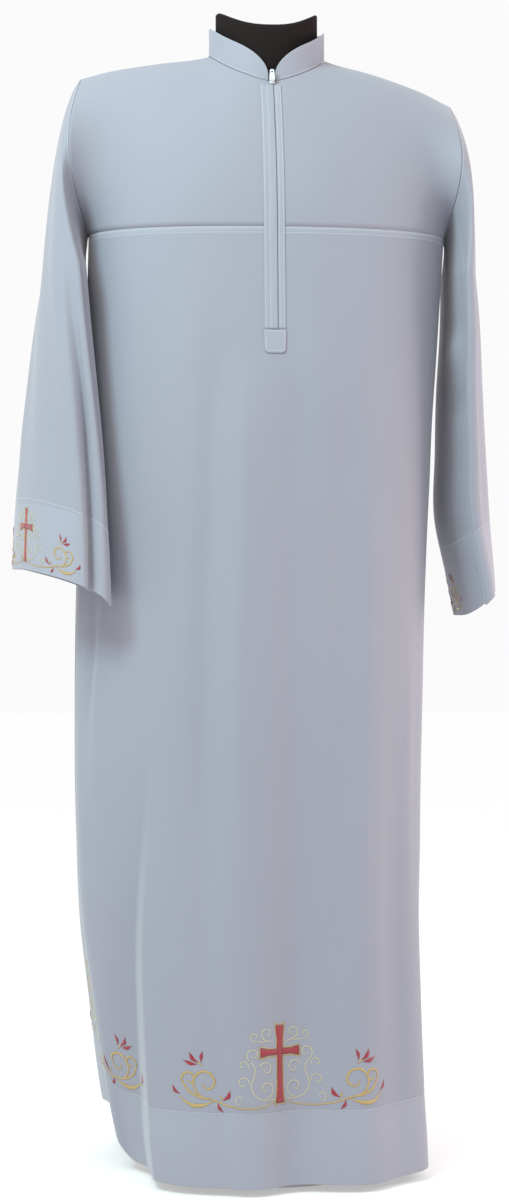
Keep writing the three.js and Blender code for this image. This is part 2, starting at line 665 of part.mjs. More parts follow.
// A whole solid through level rings, closed below and above by fans.
function loft(rings) {
  const count = rings[0].length;
  const middle = (ring) => ring.reduce((sum, p) => sum.add(p), V(0, 0, 0)).divideScalar(count);
  const points = [...rings.flat(), middle(rings[0]), middle(rings[rings.length - 1])];
  const [low, high] = [points.length - 2, points.length - 1];
  const faces = [];
  for (let j = 0; j < count; j++) {
    const next = (j + 1) % count;
    for (let i = 0; i < rings.length - 1; i++) {
      const [a, b, c, d] = [i * count + j, i * count + next, (i + 1) * count + next, (i + 1) * count + j];
      faces.push(a, b, c, a, c, d);
    }
    const top = (rings.length - 1) * count;
    faces.push(low, next, j, high, top + j, top + next);
  }
  const geometry = new THREE.BufferGeometry();
  geometry.setAttribute("position", new THREE.Float32BufferAttribute(points.flatMap((p) => [p.x, p.y, p.z]), 3));
  geometry.setIndex(faces);
  return geometry;
}

// The room under the yokes: the form's shoulders fill it up to the cloth.
function roomUnderYokes() {
  const inner = neckline(90).share;
  const shoulder = steps(inner, 1, 7);
  const shares = [...shoulder.map((n) => -n).reverse(), -inner / 2, 0, inner / 2, ...shoulder];
  const ups = steps(0, 1, 9).map((t) => Math.sin((t * Math.PI) / 2));
  const side = (front) => {
    const grid = ups.map((up) => shares.map((share) => yokePoint(front, share, up)));
    const normals = gridNormals(grid, false);
    return grid.map((row, i) =>
      row.map((p, j) => {
        const apart = WALL + (Math.abs(shares[j]) > inner * 1.15 ? FORM.gap : 4);
        return p.clone().addScaledVector(normals[i][j], front ? -apart : apart);
      }),
    );
  };
  return wallGeometry(side(true), side(false), false);
}

function disc(radius, low, high, sides = 48) {
  return wasm.Manifold.cylinder(high - low, radius, radius, sides).translate([0, 0, low]);
}

// The neck's top is a saddle: it dips towards the front and the back.
function neckSolid() {
  const count = 36;
  const round = steps(0, 360, count).slice(0, count);
  const ring = (size, height) =>
    round.map((d) => {
      const [s, c] = [Math.sin(radians(d)), Math.cos(radians(d))];
      return V(FORM.neck.x * size * s, NECK.centreY - FORM.neck.y * size * c, height(s * size));
    });
  const top = (s) => FORM.neckTop + FORM.neckHorn * Math.abs(s) ** 2.4;
  return toManifold(
    loft([
      ring(1, () => 1370),
      ring(1, (s) => top(s) - 5),
      ring(0.97, (s) => top(s) - 1.2),
      ring(0.92, top),
      ring(0.7, top),
      ring(0.4, top),
      ring(0.15, top),
    ]),
  );
}

function formSolid() {
  const room = toManifold(roomUnderYokes());
  const below = wasm.Manifold.cube([640, 400, 460]).translate([-320, -200, YOKE_Z + 2 - 460]);
  const torso = toManifold(loft(formRings())).intersect(room.add(below));
  const socket = disc(POLE_R + 0.15, 700, FORM.bottom + 60, 32);
  return torso.add(neckSolid()).subtract(socket);
}
add("form", fromManifold(formSolid()), MATERIALS.form);

const pole = disc(POLE_R, FOOT.high + 0.15, FORM.bottom + 59.85, 32);
add("pole", fromManifold(pole), MATERIALS.stand);
const hub = disc(FOOT.hubR, FOOT.high - 1, FOOT.hubHigh, 32).subtract(disc(POLE_R + 0.15, FOOT.high, FOOT.hubHigh + 1, 32));
add("foot", fromManifold(disc(FOOT.r, 0, FOOT.high).add(hub)), MATERIALS.stand);

// ---- the zip's slider and its pull tab, turned up in the opening of the collar ----------------
const slider = frontPoint(0, ZIP.top + 4.8);
const sliderBox = wasm.Manifold.cube([6.4, 3.2, 6.4], true).translate([0, slider.y - 4, slider.z]);
const lug = wasm.Manifold.cube([2.2, 2.6, 3], true).translate([0, slider.y - 6.5, slider.z + 1]);
const pin = { y: slider.y - 6.6, z: slider.z + 1 };
const pinHole = wasm.Manifold.cylinder(12, 0.5, 0.5, 16, true).rotate([0, 90, 0]).translate([0, pin.y, pin.z]);
add("zip_slider", fromManifold(sliderBox.add(lug).subtract(pinHole)), MATERIALS.zip);

function pullSolid() {
  const ring = (radius) => wasm.Manifold.cylinder(1.4, radius, radius, 24, true).rotate([90, 0, 0]);
  const plate = wasm.CrossSection.ofPolygons([
    [[-3.6, 1.9], [3.6, 1.9], [2.6, 12.6], [1.7, 13.6], [-1.7, 13.6], [-2.6, 12.6]],
  ]);
  const body = wasm.Manifold.extrude(plate, 1.4).rotate([90, 0, 0]).translate([0, 0.7, 0]);
  const hole = ring(1.15).scale([1, 3, 1]).translate([0, 0, 10.6]);
  const arms = [-1, 1].map((side) =>
    wasm.Manifold.cube([1.6, 1.4, 3.4], true).translate([side * 2.3, 0, 1.1]),
  );
  const wire = wasm.Manifold.cylinder(5.4, 0.35, 0.35, 16, true).rotate([0, 90, 0]);
  return body.subtract(hole).add(arms[0]).add(arms[1]).add(wire);
}
add("zip_pull", fromManifold(pullSolid().rotate([-6, 0, 0]).translate([0, pin.y, pin.z])), MATERIALS.zip);

export default alb;
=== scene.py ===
"""An alb on a limbless dress form, dressed in thin cloth, stitching and embroidery."""

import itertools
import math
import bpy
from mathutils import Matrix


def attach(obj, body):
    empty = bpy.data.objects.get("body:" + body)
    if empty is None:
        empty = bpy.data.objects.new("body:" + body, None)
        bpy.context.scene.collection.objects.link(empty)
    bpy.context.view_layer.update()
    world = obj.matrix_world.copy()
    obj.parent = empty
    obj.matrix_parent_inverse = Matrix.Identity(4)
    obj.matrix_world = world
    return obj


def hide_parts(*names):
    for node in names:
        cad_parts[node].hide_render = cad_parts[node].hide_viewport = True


bl_info = {
    "name": "Alb on a dress form",
    "version": (1, 0, 0),
    "blender": (4, 5, 0),
    "location": "3D View > Sidebar > Alb",
    "description": "Builds an alb in thin cloth with its stitching and embroidery on a dress form",
    "category": "Object",
}

import bmesh
import bpy
import numpy as np
from mathutils import Vector

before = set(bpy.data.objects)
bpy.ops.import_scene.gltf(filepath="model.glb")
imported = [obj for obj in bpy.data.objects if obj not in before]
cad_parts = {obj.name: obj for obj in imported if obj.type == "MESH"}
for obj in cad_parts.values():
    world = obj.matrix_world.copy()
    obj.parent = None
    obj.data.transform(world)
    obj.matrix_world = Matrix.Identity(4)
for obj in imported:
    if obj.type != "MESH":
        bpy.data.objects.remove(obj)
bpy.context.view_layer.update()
BODY = "alb_on_form"
MM = 0.001

# ---- sizes in millimetres, and directions in degrees from the front --------------------------
SEAM_GAP = 0.3  # between two pieces at a seam
LIFT = 0.3  # between the front and what is stitched on it
HEM_Z = 10  # the front's hem above the floor
HEM_RISE = 24  # how much higher the hem hangs at the back
HEM_SIDE, HEM_SIDE_AT, HEM_SIDE_HALF = 45, -104, 22  # how it rises at the right side, where and how widely
HEM_DEEP = 90  # cloth turned up at the hems
HEM_WALL = 1.7  # two layers of cloth
YOKE_Z = 1196  # the seam below both yokes
RIDGE_Y = 4  # the shoulder seam behind the form's axis
SHOULDER_HALF = 240  # the axis to the top of an armhole
ARM_BULGE = 80  # an armhole's reach to the front and the back
ARM_OUT = {"right": 22, "left": 8}  # and outwards, halfway down
REACH = 200  # the skirt's usual reach, which turns widths along the cloth into directions
NECK_X, NECK_Y, NECK_CENTRE_Y = 75.2, 74, 2
# Height, half the gap in front, length and lowest height of the rounded ends, thickness.
COLLAR = {"high": 36, "gap": 4.2, "round": 46, "end_high": 7, "wall": 1.6}
ZIP_TOP, ZIP_END, TAPE = 1382, 1066, 22
FLY = (-15, 1.6)
STRIP = (2.5, 11.6)
TAB = {"left": -16, "right": 12.5, "top": 1065.7, "end": 1036}
TAB_WALL = 1.7
FLY_STITCH, FLY_EDGE_STITCH, STRIP_STITCHES = -8.0, -13.4, (4.4, 9.8)
TAPE_BEHIND = -2.8  # the zip's tape behind the front's outer side
YOKE_STITCHES = (2.2, 8.2)  # below the yokes' seam
COLLAR_STITCH, COLLAR_LOW_STITCH = 0.9, 0.055  # shares of the collar's height
ARMHOLE_STITCH = -0.975  # a sleeve's down, just beyond its seam


class Table:
    """Rows of named sizes, read at any place between them on a smooth curve."""

    def __init__(self, names, rows):
        rows = np.array(sorted(rows), float)
        self.at = rows[:, 0]
        self.columns = {name: rows[:, i] for i, name in enumerate(names.split())}

    def __call__(self, name, where):
        xs, ys = self.at, self.columns[name]
        last = len(xs) - 1
        before, after = np.maximum(np.arange(last + 1) - 1, 0), np.minimum(np.arange(last + 1) + 1, last)
        slopes = (ys[after] - ys[before]) / (xs[after] - xs[before])
        i = np.clip(np.searchsorted(xs, where, side="right") - 1, 0, last - 1)
        span = xs[i + 1] - xs[i]
        t = np.clip((where - xs[i]) / span, 0, 1)
        return (
            ys[i] * (2 * t**3 - 3 * t**2 + 1)
            + slopes[i] * span * (t**3 - 2 * t**2 + t)
            + ys[i + 1] * (3 * t**2 - 2 * t**3)
            + slopes[i + 1] * span * (t**3 - t**2)
        )


SHOULDER = Table(
    "x z",
    [
        (-240, 1400),
        (-200, 1411),
        (-140, 1421),
        (-76, 1431),
        (0, 1462),
        (76, 1428),
        (140, 1411),
        (200, 1391),
        (240, 1372),
    ],
)
SKIRT = Table(
    "z right left front back square square_back splay",
    [
        (10, 186, 194, 192, 226, 4, 2.9, 0.11),
        (56, 197, 193, 189, 222, 3.8, 2.8, 0.11),
        (100, 206, 192, 185, 218, 3.5, 2.7, 0.11),
        (200, 222, 191, 178, 207, 3.2, 2.6, 0.09),
        (320, 240, 192, 171, 193, 2.8, 2.5, 0.06),
        (450, 247, 195, 165, 180, 2.5, 2.4, 0.03),
        (600, 248, 199, 159, 167, 2.4, 2.4, 0),
        (750, 246, 203, 153, 155, 2.3, 2.3, 0),
        (900, 240, 210, 147, 146, 2.3, 2.3, 0),
        (1040, 234, 220, 140, 136, 2.3, 2.3, 0),
        (1196, 230, 230, 128, 122, 2.3, 2.3, 0),
    ],
)
# Long folds: direction, half width, depth at the hem, where it begins, wander.
SKIRT_FOLDS = [
    (-12, 13, 7, 1010, 6),
    (6, 10, -6, 1020, -4),
    (27, 12, 5, 700, 4),
    (44, 9, -15, 760, 6),
    (60, 9, 7, 700, 4),
    (84, 11, -10, 800, 3),
    (108, 11, 9, 820, -3),
    (130, 10, -12, 900, -4),
    (152, 12, 10, 900, -4),
    (176, 12, -11, 960, 2),
    (200, 12, 10, 930, 4),
    (222, 10, -12, 900, 4),
    (243, 10, 8, 800, 4),
    (262, 10, -7, 640, 3),
    (-82, 9, 5, 640, -3),
]
# The right front's pleat: its edge's direction at the floor, its lean for each millimetre up, its depth
# at the floor, the width of its step and of its way back out in degrees, and the height where it ends.
PLEAT = {"at": -49.3, "lean": 0.026, "deep": 74, "step": 2.4, "back": 40, "top": 560}
# A sleeve's hem is its lowest and highest level, the reach where it climbs from one to the other, and
# the power of that curve. Its pleat is direction, depth, step, way back, top and end. Its folds are
# direction, half width, depth, top, end and wander. The ring's turn says which way the arm swings.
SLEEVES = {
    "right": {
        "side": -1,
        "rings": Table(
            "z out y across along turn",
            [
                (1150, 258, -4, 28, 100, -4),
                (1080, 262, -16, 31, 98, -10),
                (1000, 264, -34, 34, 95, -17),
                (920, 265, -54, 38, 91, -24),
                (840, 266, -76, 41, 88, -30),
                (710, 267, -106, 46, 84, -36),
            ],
        ),
        "hem": (710, 768, 203, 316, 0.45),
        "pleat": (66, 20, 5, 52, 1180, 900),
        "folds": [
            (20, 26, 4, 1300, 900, 0),
            (50, 13, 5, 1330, 760, 6),
            (150, 14, -8, 1300, 900, 12),
            (236, 18, -9, 1280, 740, -14),
            (284, 20, 7, 1250, 700, -10),
        ],
    },
    "left": {
        "side": 1,
        "rings": Table(
            "z out y across along turn",
            [
                (1150, 252, 4, 17, 102, 0),
                (1080, 254, 8, 20, 100, 1),
                (1000, 254, 13, 24, 98, 2),
                (920, 256, 18, 27, 95, 3),
                (840, 259, 22, 31, 91, 4),
                (760, 271, 25, 25, 89, 6),
                (700, 279, 27, 19, 87, 8),
            ],
        ),
        "hem": (709, 740, 255, 296, 1.3),
        "pleat": (118, 9, 9, 50, 1290, 1000),
        "folds": [
            (52, 18, -8, 1330, 760, 4),
            (92, 16, 5, 1250, 700, 4),
            (250, 20, -8, 1280, 740, -8),
            (296, 22, 6, 1250, 700, -6),
        ],
    },
}
FIRST_RING = 1150  # the highest level where a sleeve is a full ring
CAP_OUT, CAP_DOWN = 30, 30  # how a sleeve's head rounds over the shoulder tip


# ---- colours and sizes a user would change ----------------------------------------------------
class AlbCloth(bpy.types.PropertyGroup):
    """The cloth's colours and thickness"""

    colour: bpy.props.FloatVectorProperty(
        name="Cloth colour",
        description="Colour of the white polyester cloth in one layer",
        subtype="COLOR",
        size=3,
        min=0,
        max=1,
        default=(0.265, 0.268, 0.318),
    )
    doubled: bpy.props.FloatVectorProperty(
        name="Doubled cloth colour",
        description="Colour of the cloth where two layers lie together",
        subtype="COLOR",
        size=3,
        min=0,
        max=1,
        default=(0.288, 0.292, 0.345),
    )
    wall: bpy.props.FloatProperty(
        name="Cloth thickness",
        description="Thickness of one layer of cloth",
        subtype="DISTANCE",
        default=0.0009,
        min=0.0003,
        max=0.002,
    )


class AlbEmbroidery(bpy.types.PropertyGroup):
    """The embroidery's threads"""

    crimson: bpy.props.FloatVectorProperty(
        name="Crimson thread",
        description="Colour of the satin stitched cross and buds",
        subtype="COLOR",
        size=3,
        min=0,
        max=1,
        default=(0.27, 0.010, 0.020),
    )
    gold: bpy.props.FloatVectorProperty(
        name="Gold thread",
        description="Colour of the scrolls and the outlines",
        subtype="COLOR",
        size=3,
        min=0,
        max=1,
        default=(0.42, 0.28, 0.09),
    )
    rise: bpy.props.FloatProperty(
        name="Thread height",
        description="How far the satin stitches stand up from the cloth",
        subtype="DISTANCE",
        default=0.0008,
        min=0.0003,
        max=0.002,
    )


class AlbForm(bpy.types.PropertyGroup):
    """The dress form's cover and stand"""

    colour: bpy.props.FloatVectorProperty(
        name="Form colour",
        description="Colour of the dress form's jersey cover",
        subtype="COLOR",
        size=3,
        min=0,
        max=1,
        default=(0.012, 0.008, 0.008),
    )
    steel: bpy.props.FloatVectorProperty(
        name="Stand colour",
        description="Colour of the stand's brushed steel",
        subtype="COLOR",
        size=3,
        min=0,
        max=1,
        default=(0.46, 0.46, 0.47),
    )


# ---- the cloth's surfaces ---------------------------------------------------------------------
def smooth(t):
    """Goes from 0 to 1 with level ends."""
    t = np.clip(t, 0, 1)
    return t * t * (3 - 2 * t)


def unit(v):
    """A direction of length 1."""
    return v / np.maximum(np.linalg.norm(v, axis=-1, keepdims=True), 1e-9)


def lengths(points):
    """Length along a row of points, from its first."""
    return np.concatenate([[0], np.cumsum(np.linalg.norm(np.diff(points, axis=0), axis=1))])


def hump(degrees, line, half):
    """A fold's profile across its width: 1 on its line, 0 at its sides."""
    off = (degrees - line + 180) % 360 - 180
    return np.where(np.abs(off) < 2 * half, np.cos(np.pi * off / (4 * half)) ** 2, 0)


def pleat_depth(degrees, z):
    """How far the cloth beyond the right front's crisp edge lies back."""
    past = PLEAT["at"] + PLEAT["lean"] * z - degrees
    step, back = PLEAT["step"], PLEAT["back"]
    inward = smooth(past / step) * (1 - smooth((past - step) / (back - step)))
    inside = (past > 0) & (past < back)
    return np.where(inside, PLEAT["deep"] * inward * smooth((PLEAT["top"] - z) / PLEAT["top"]), 0)


def skirt_point(degrees, z):
    """A point of the skirt, from the hem to the yoke seam, all round."""
    degrees, z = np.broadcast_arrays(np.asarray(degrees, float), np.asarray(z, float))
    degrees = (degrees + 180) % 360 - 180
    s, c = np.sin(np.radians(degrees)), np.cos(np.radians(degrees))
    level = np.maximum(z, SKIRT.at[0])
    wide = np.where(s < 0, SKIRT("right", level), SKIRT("left", level))
    deep = np.where(c > 0, SKIRT("front", level), SKIRT("back", level))
    square = np.where(c > 0, SKIRT("square", level), SKIRT("square_back", level))
    k = (np.abs(s) ** square + np.abs(c) ** square) ** (-1 / square)
    out = unit(np.stack([deep * s, -wide * c], -1))
    moved = 0
    for at, half, fold_deep, top, wander in SKIRT_FOLDS:
        line = at + wander * (z - HEM_Z) / 1000
        moved = moved + fold_deep * hump(degrees, line, half) * smooth((top - z) / top)
    moved = moved + soft_creases(CREASES, degrees, z)
    y = -deep * c * k + moved * out[..., 1] + pleat_depth(degrees, z)
    splay = np.where(s < 0, SKIRT("splay", level), 0)
    x = (wide * s * k + moved * out[..., 0]) * (1 - splay * deep * c * k / REACH)
    return np.stack([x, y, z], -1)


# Soft creases: direction, half width, depth, top, bottom, drift. Ridges are positive, troughs negative.
CREASES = [
    (-9, 6, 7.5, 1050, -200, -1),
    (9, 6, -7.5, 1040, -200, 0),
    (-31, 5, 2.8, 1150, 300, 5),
    (-20, 4, -2.2, 1100, 420, 4),
    (-16, 3, 2.0, 420, -200, -2),
    (17, 5, 2.4, 1140, 380, -3),
    (20.5, 7, -7.5, 1000, -200, 1),
    (33, 5, 2.8, 900, 200, 5),
    (-64, 2.6, -5.0, 800, 540, 4),
    (-60, 3, 3.4, 780, 460, 3),
    (-72, 5, 2.4, 900, 240, -5),
    (-83, 4, -2.4, 760, 200, -4),
    (53, 3, 2.2, 700, 80, 3),
    (70, 5, 3.0, 1000, 300, 4),
    (97, 5, -2.8, 1100, 400, 4),
    (120, 6, 3.0, 1100, 300, 6),
    (143, 5, -2.8, 1000, 200, -5),
    (165, 6, 3.0, 1120, 500, 5),
    (188, 5, -2.6, 1080, 260, 4),
    (210, 6, 3.0, 1120, 400, -5),
    (232, 5, -2.8, 1000, 300, 5),
    (250, 5, 2.8, 1100, 420, 4),
]
CREASE_RAMP = 130  # a crease fades in and out over this height
SLEEVE_CREASES = {
    -1: [
        (96, 9, 4.5, 1340, 640, 8),
        (124, 8, -4.5, 1330, 780, -18),
        (38, 9, -1.8, 1180, 700, 6),
        (12, 10, 1.6, 1250, 820, -6),
        (200, 10, 3.0, 1300, 760, 10),
        (262, 10, -3.2, 1260, 700, -8),
        (320, 11, 3.0, 1280, 820, 8),
    ],
    1: [
        (121, 7, -5.0, 1350, 640, -4),
        (100, 7, 2.6, 1340, 700, -4),
        (72, 8, -2.0, 1230, 760, 6),
        (146, 13, 6.0, 1086, 1014, 0),
        (146, 13, -4.5, 1022, 950, 0),
        (30, 10, 2.0, 1200, 800, -6),
        (225, 12, 3.0, 1300, 760, 8),
        (275, 10, -3.0, 1240, 700, -8),
        (330, 11, 2.6, 1280, 820, 8),
    ],
}


def soft_creases(creases, degrees, z):
    """How far the creases push the cloth out at a place."""
    moved = 0
    for at, half, deep, top, low, drift in creases:
        line = at + drift * (z - low) / (top - low)
        ramp = min(CREASE_RAMP, (top - low) / 2)
        fade = smooth((z - low) / ramp) * smooth((top - z) / ramp)
        moved = moved + deep * hump(degrees, line, half) * fade
    return moved


def hem_at(degrees):
    """The hem's height all round."""
    rise = HEM_RISE * smooth((1 - np.cos(np.radians(degrees))) / 2)
    return HEM_Z + rise + HEM_SIDE * hump(degrees, HEM_SIDE_AT, HEM_SIDE_HALF)


def yoke_point(front, share, up):
    """A point above the yoke seam: share runs from one armhole to the other, up from seam to ridge."""
    share, up = np.broadcast_arrays(np.asarray(share, float), np.asarray(up, float))
    low = skirt_point(90 * share if front else 180 - 90 * share, YOKE_Z)
    ridge_x = SHOULDER_HALF * share
    ridge_z = SHOULDER("z", ridge_x)
    middle = 1 - np.abs(share)
    square = 2.2 - 0.6 * middle if front else 2.4 + 0.9 * middle
    fall = np.maximum(1 - up**square, 0) ** (1 / square)
    swell = np.sin(np.pi * up) * share**4
    bulge = ARM_BULGE * swell
    x = low[..., 0] + (ridge_x - low[..., 0]) * up
    x = x + np.where(share < 0, -ARM_OUT["right"], ARM_OUT["left"]) * swell
    y = RIDGE_Y + (low[..., 1] - RIDGE_Y) * fall + (-bulge if front else bulge)
    z = low[..., 2] + (ridge_z - low[..., 2]) * up
    return np.stack([x, y, z], -1)


def neckline(degrees):
    """Share, up and height where the yokes meet the neck hole, for directions from the front."""
    turn = (np.atleast_1d(np.asarray(degrees, float)) + 180) % 360 - 180
    front = np.abs(turn) <= 90
    target_x = NECK_X * np.sin(np.radians(turn))
    target_y = NECK_CENTRE_Y - NECK_Y * np.cos(np.radians(turn))

    def place(share, up):
        return np.where(front[:, None], yoke_point(True, share, up), yoke_point(False, share, up))

    share, up = target_x / SHOULDER_HALF, np.full_like(turn, 0.8)
    for _ in range(12):
        low, high = np.zeros_like(turn), np.ones_like(turn)
        for _ in range(24):
            up = (low + high) / 2
            y = place(share, up)[:, 1]
            short = np.where(front, y < target_y, y > target_y)
            low, high = np.where(short, up, low), np.where(short, high, up)
        share = share + (target_x - place(share, up)[:, 0]) / SHOULDER_HALF
    return np.stack([share, up, place(share, up)[:, 2]], -1)


NECK_TURNS = np.linspace(-180, 180, 73)
NECK_FOUND = neckline(NECK_TURNS)


def neck_height(degrees):
    """The height of the neck hole's edge all round."""
    turn = (np.asarray(degrees, float) + 180) % 360 - 180
    return np.interp(turn, NECK_TURNS, NECK_FOUND[:, 2])


def front_point(x, z):
    """The front's surface over a point of its middle."""
    x, z = np.broadcast_arrays(np.asarray(x, float), np.asarray(z, float))
    degrees = np.zeros_like(z)
    share = np.zeros_like(z)
    low = np.minimum(z, YOKE_Z)
    for _ in range(8):
        degrees = degrees + np.degrees((x - skirt_point(degrees, low)[..., 0]) / REACH)
    high = np.maximum(z, YOKE_Z)
    for _ in range(8):
        up = (high - YOKE_Z) / (SHOULDER("z", SHOULDER_HALF * share) - YOKE_Z)
        share = share + (x - yoke_point(True, share, up)[..., 0]) / SHOULDER_HALF
    return np.where((z < YOKE_Z)[..., None], skirt_point(degrees, low), yoke_point(True, share, up))


def sleeve_ring(sleeve, turn, z):
    """A point of a sleeve's level ring, with its folds, pleat and creases."""
    at = {name: sleeve["rings"](name, z) for name in ("out", "y", "across", "along", "turn")}
    twist, angle = np.radians(at["turn"]), np.radians(turn)
    c, s = np.cos(angle), np.sin(angle)
    moved = 0
    for line, half, deep, top, end, wander in sleeve["folds"]:
        run = (top - z) / (top - end)
        moved = moved + deep * smooth(np.minimum(run, 0.35) / 0.35) * hump(turn, line + wander * run, half)
    pleat_at, pleat_deep, step, back, top, end = sleeve["pleat"]
    past = turn - pleat_at
    inward = smooth(past / step) * (1 - smooth((past - step) / (back - step))) * ((past > 0) & (past < back))
    moved = moved - pleat_deep * inward * smooth((top - z) / (top - end))
    moved = moved + soft_creases(SLEEVE_CREASES[sleeve["side"]], turn, z)
    out = unit(np.stack([at["along"] * c, -at["across"] * s], -1))
    x = at["across"] * c + moved * out[..., 0]
    y = -at["along"] * s + moved * out[..., 1]
    return np.stack(
        [
            sleeve["side"] * (at["out"] + x * np.cos(twist) - y * np.sin(twist)),
            at["y"] + x * np.sin(twist) + y * np.cos(twist),
            z,
        ],
        -1,
    )


def armhole_point(sleeve, turn):
    """A point of the seam where a sleeve is set in."""
    turn = np.asarray(turn, float) % 360
    front = turn <= 180
    down = np.where(front, turn, 360 - turn) / 180
    up = (1 + np.cos(np.pi * down)) / 2
    side = sleeve["side"]
    p = np.where(front[..., None], yoke_point(True, side, up), yoke_point(False, side, up))
    p[..., 0] += side * SEAM_GAP
    return p


def sleeve_hem(sleeve, turn):
    """The height of a sleeve's hem, which climbs towards its outside."""
    low, high, start, end, power = sleeve["hem"]
    out = np.abs(sleeve_ring(sleeve, turn, np.full_like(turn, (low + high) / 2.0))[..., 0])
    return low + (high - low) * np.clip((out - start) / (end - start), 0, 1) ** power


def clear_of_skirt(p):
    """Moves a sleeve's points out to just clear of the skirt that it hangs against."""
    x, y, z = p[..., 0], p[..., 1], p[..., 2]
    level = np.minimum(z, YOKE_Z)
    wide = np.where(x < 0, SKIRT("right", level), SKIRT("left", level))
    deep = np.where(y < 0, SKIRT("front", level), SKIRT("back", level))
    reach = wide * (1 + SKIRT("splay", level) * y / REACH)
    edge = skirt_point(np.degrees(np.arctan2(x / reach, -y / deep)), level)
    clear = np.hypot(edge[..., 0], edge[..., 1]) + np.minimum(4, SEAM_GAP + (YOKE_Z - level) * 0.12)
    out = np.hypot(x, y)
    scale = np.where((z < YOKE_Z) & (out < clear), clear / out, 1)
    return np.stack([x * scale, y * scale, z], -1)


def sleeve_point(sleeve, turn, down):
    """A point of a sleeve: down is -1 at the armhole, 0 at the first full ring, 1 at the cuff's hem."""
    turn, down = np.broadcast_arrays(np.asarray(turn, float), np.asarray(down, float))
    hem = sleeve_hem(sleeve, turn)
    low = sleeve_ring(sleeve, turn, FIRST_RING + (hem - FIRST_RING) * np.maximum(down, 0))
    t = np.clip(down + 1, 0, 1)[..., None]
    seam = armhole_point(sleeve, turn)
    head = (1 + np.cos(np.radians(turn))) / 2
    side = sleeve["side"]
    bend = seam + np.stack([side * (CAP_OUT * head + 3), 0 * head, -CAP_DOWN * head - 8], -1)
    ring = sleeve_ring(sleeve, turn, np.full_like(turn, float(FIRST_RING)))
    cap = seam * (1 - t) ** 2 + bend * 2 * t * (1 - t) + ring * t**2
    return clear_of_skirt(np.where((down >= 0)[..., None], low, cap))


def normals_of(surface, a, b, step_a=0.2, step_b=0.5):
    """Outward normals of a surface of two parameters."""
    across = surface(a + step_a, b) - surface(a - step_a, b)
    upward = surface(a, b + step_b) - surface(a, b - step_b)
    return unit(np.cross(across, upward))


def grid_normals(grid, closed):
    """Outward normals of rows that go up and columns that go round."""
    if closed:
        across = np.roll(grid, -1, 1) - np.roll(grid, 1, 1)
    else:
        across = np.gradient(grid, axis=1)
    return unit(np.cross(across, np.gradient(grid, axis=0)))


# ---- meshes -----------------------------------------------------------------------------------
def finish_piece(name, points, faces, material, replaces=(), smooth_shade=True):
    """Makes a piece of points in millimetres, hangs it on the body, and hides the parts that it stands for.
    """
    mesh = bpy.data.meshes.new(name)
    mesh.from_pydata((np.asarray(points) * MM).tolist(), [], [list(f) for f in faces])
    mesh.polygons.foreach_set("use_smooth", [smooth_shade] * len(mesh.polygons))
    mesh.materials.append(material)
    mesh.update()
    piece = bpy.data.objects.new(name, mesh)
    bpy.context.scene.collection.objects.link(piece)
    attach(piece, BODY)
    if replaces:
        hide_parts(*replaces)
    return piece


def shell_faces(rows, columns, closed, active):
    """Quads of a closed wall between two grids, with a rim round every open quad."""
    width = columns if closed else columns - 1
    if active is None:
        active = np.ones((rows - 1, width), bool)
    half = rows * columns
    faces = []

    def at(side, i, j):
        return side * half + i * columns + j % columns

    def open_quad(i, j):
        if closed:
            j %= width
        return not (0 <= i < rows - 1 and 0 <= j < width and active[i, j])

    for i in range(rows - 1):
        for j in range(width):
            if not active[i, j]:
                continue
            faces.append((at(0, i, j), at(0, i, j + 1), at(0, i + 1, j + 1), at(0, i + 1, j)))
            faces.append((at(1, i, j), at(1, i + 1, j), at(1, i + 1, j + 1), at(1, i, j + 1)))
            if open_quad(i - 1, j):
                faces.append((at(0, i, j), at(1, i, j), at(1, i, j + 1), at(0, i, j + 1)))
            if open_quad(i + 1, j):
                faces.append((at(0, i + 1, j), at(0, i + 1, j + 1), at(1, i + 1, j + 1), at(1, i + 1, j)))
            if open_quad(i, j - 1):
                faces.append((at(0, i, j), at(0, i + 1, j), at(1, i + 1, j), at(1, i, j)))
            if open_quad(i, j + 1):
                faces.append((at(0, i, j + 1), at(1, i, j + 1), at(1, i + 1, j + 1), at(0, i + 1, j + 1)))
    return faces


def one_layer():
    """Thickness of one layer of cloth, in millimetres."""
    return bpy.context.scene.alb_cloth.wall / MM


def cloth_shell(name, grid, material, replaces, inward, ply, closed=False, active=None, wall=None):
    """A thin wall of cloth whose outer side is the grid, rows going up and columns round.

    inward turns the grid's normals into the directions of its thickness, and ply is 1 where two layers lie.
    """
    rows, columns = grid.shape[:2]
    normals = inward(grid, grid_normals(grid, closed))
    thick = np.full((rows, columns, 1), one_layer()) if wall is None else wall[..., None]
    inner = grid - normals * thick
    points = np.concatenate([grid.reshape(-1, 3), inner.reshape(-1, 3)])
    piece = finish_piece(name, points, shell_faces(rows, columns, closed, active), material, replaces)
    layer = piece.data.attributes.new("ply", "FLOAT", "POINT")
    layer.data.foreach_set("value", np.concatenate([ply.ravel(), ply.ravel()]))
    clean_points(piece)
    return piece


def clean_points(piece):
    """Drops points that no face uses."""
    mesh = bmesh.new()
    mesh.from_mesh(piece.data)
    loose = [v for v in mesh.verts if not v.link_faces]
    bmesh.ops.delete(mesh, geom=loose, context="VERTS")
    mesh.to_mesh(piece.data)
    mesh.free()


# ---- materials --------------------------------------------------------------------------------
THREADS = 420  # waves a metre that stand for the weave
WHITE_THREAD, PALE_GOLD = (0.66, 0.69, 0.73), (0.52, 0.45, 0.29)
ZIP_TAPE, ENAMEL = (0.72, 0.75, 0.78), (0.62, 0.64, 0.66)
JERSEY_GLOSS = 0.12


def node(tree, kind, at, **values):
    """Adds a shader node and sets its inputs or settings."""
    made = tree.nodes.new(kind)
    made.location = at
    for key, value in values.items():
        if key in made.inputs:
            made.inputs[key].default_value = value
        else:
            setattr(made, key, value)
    return made


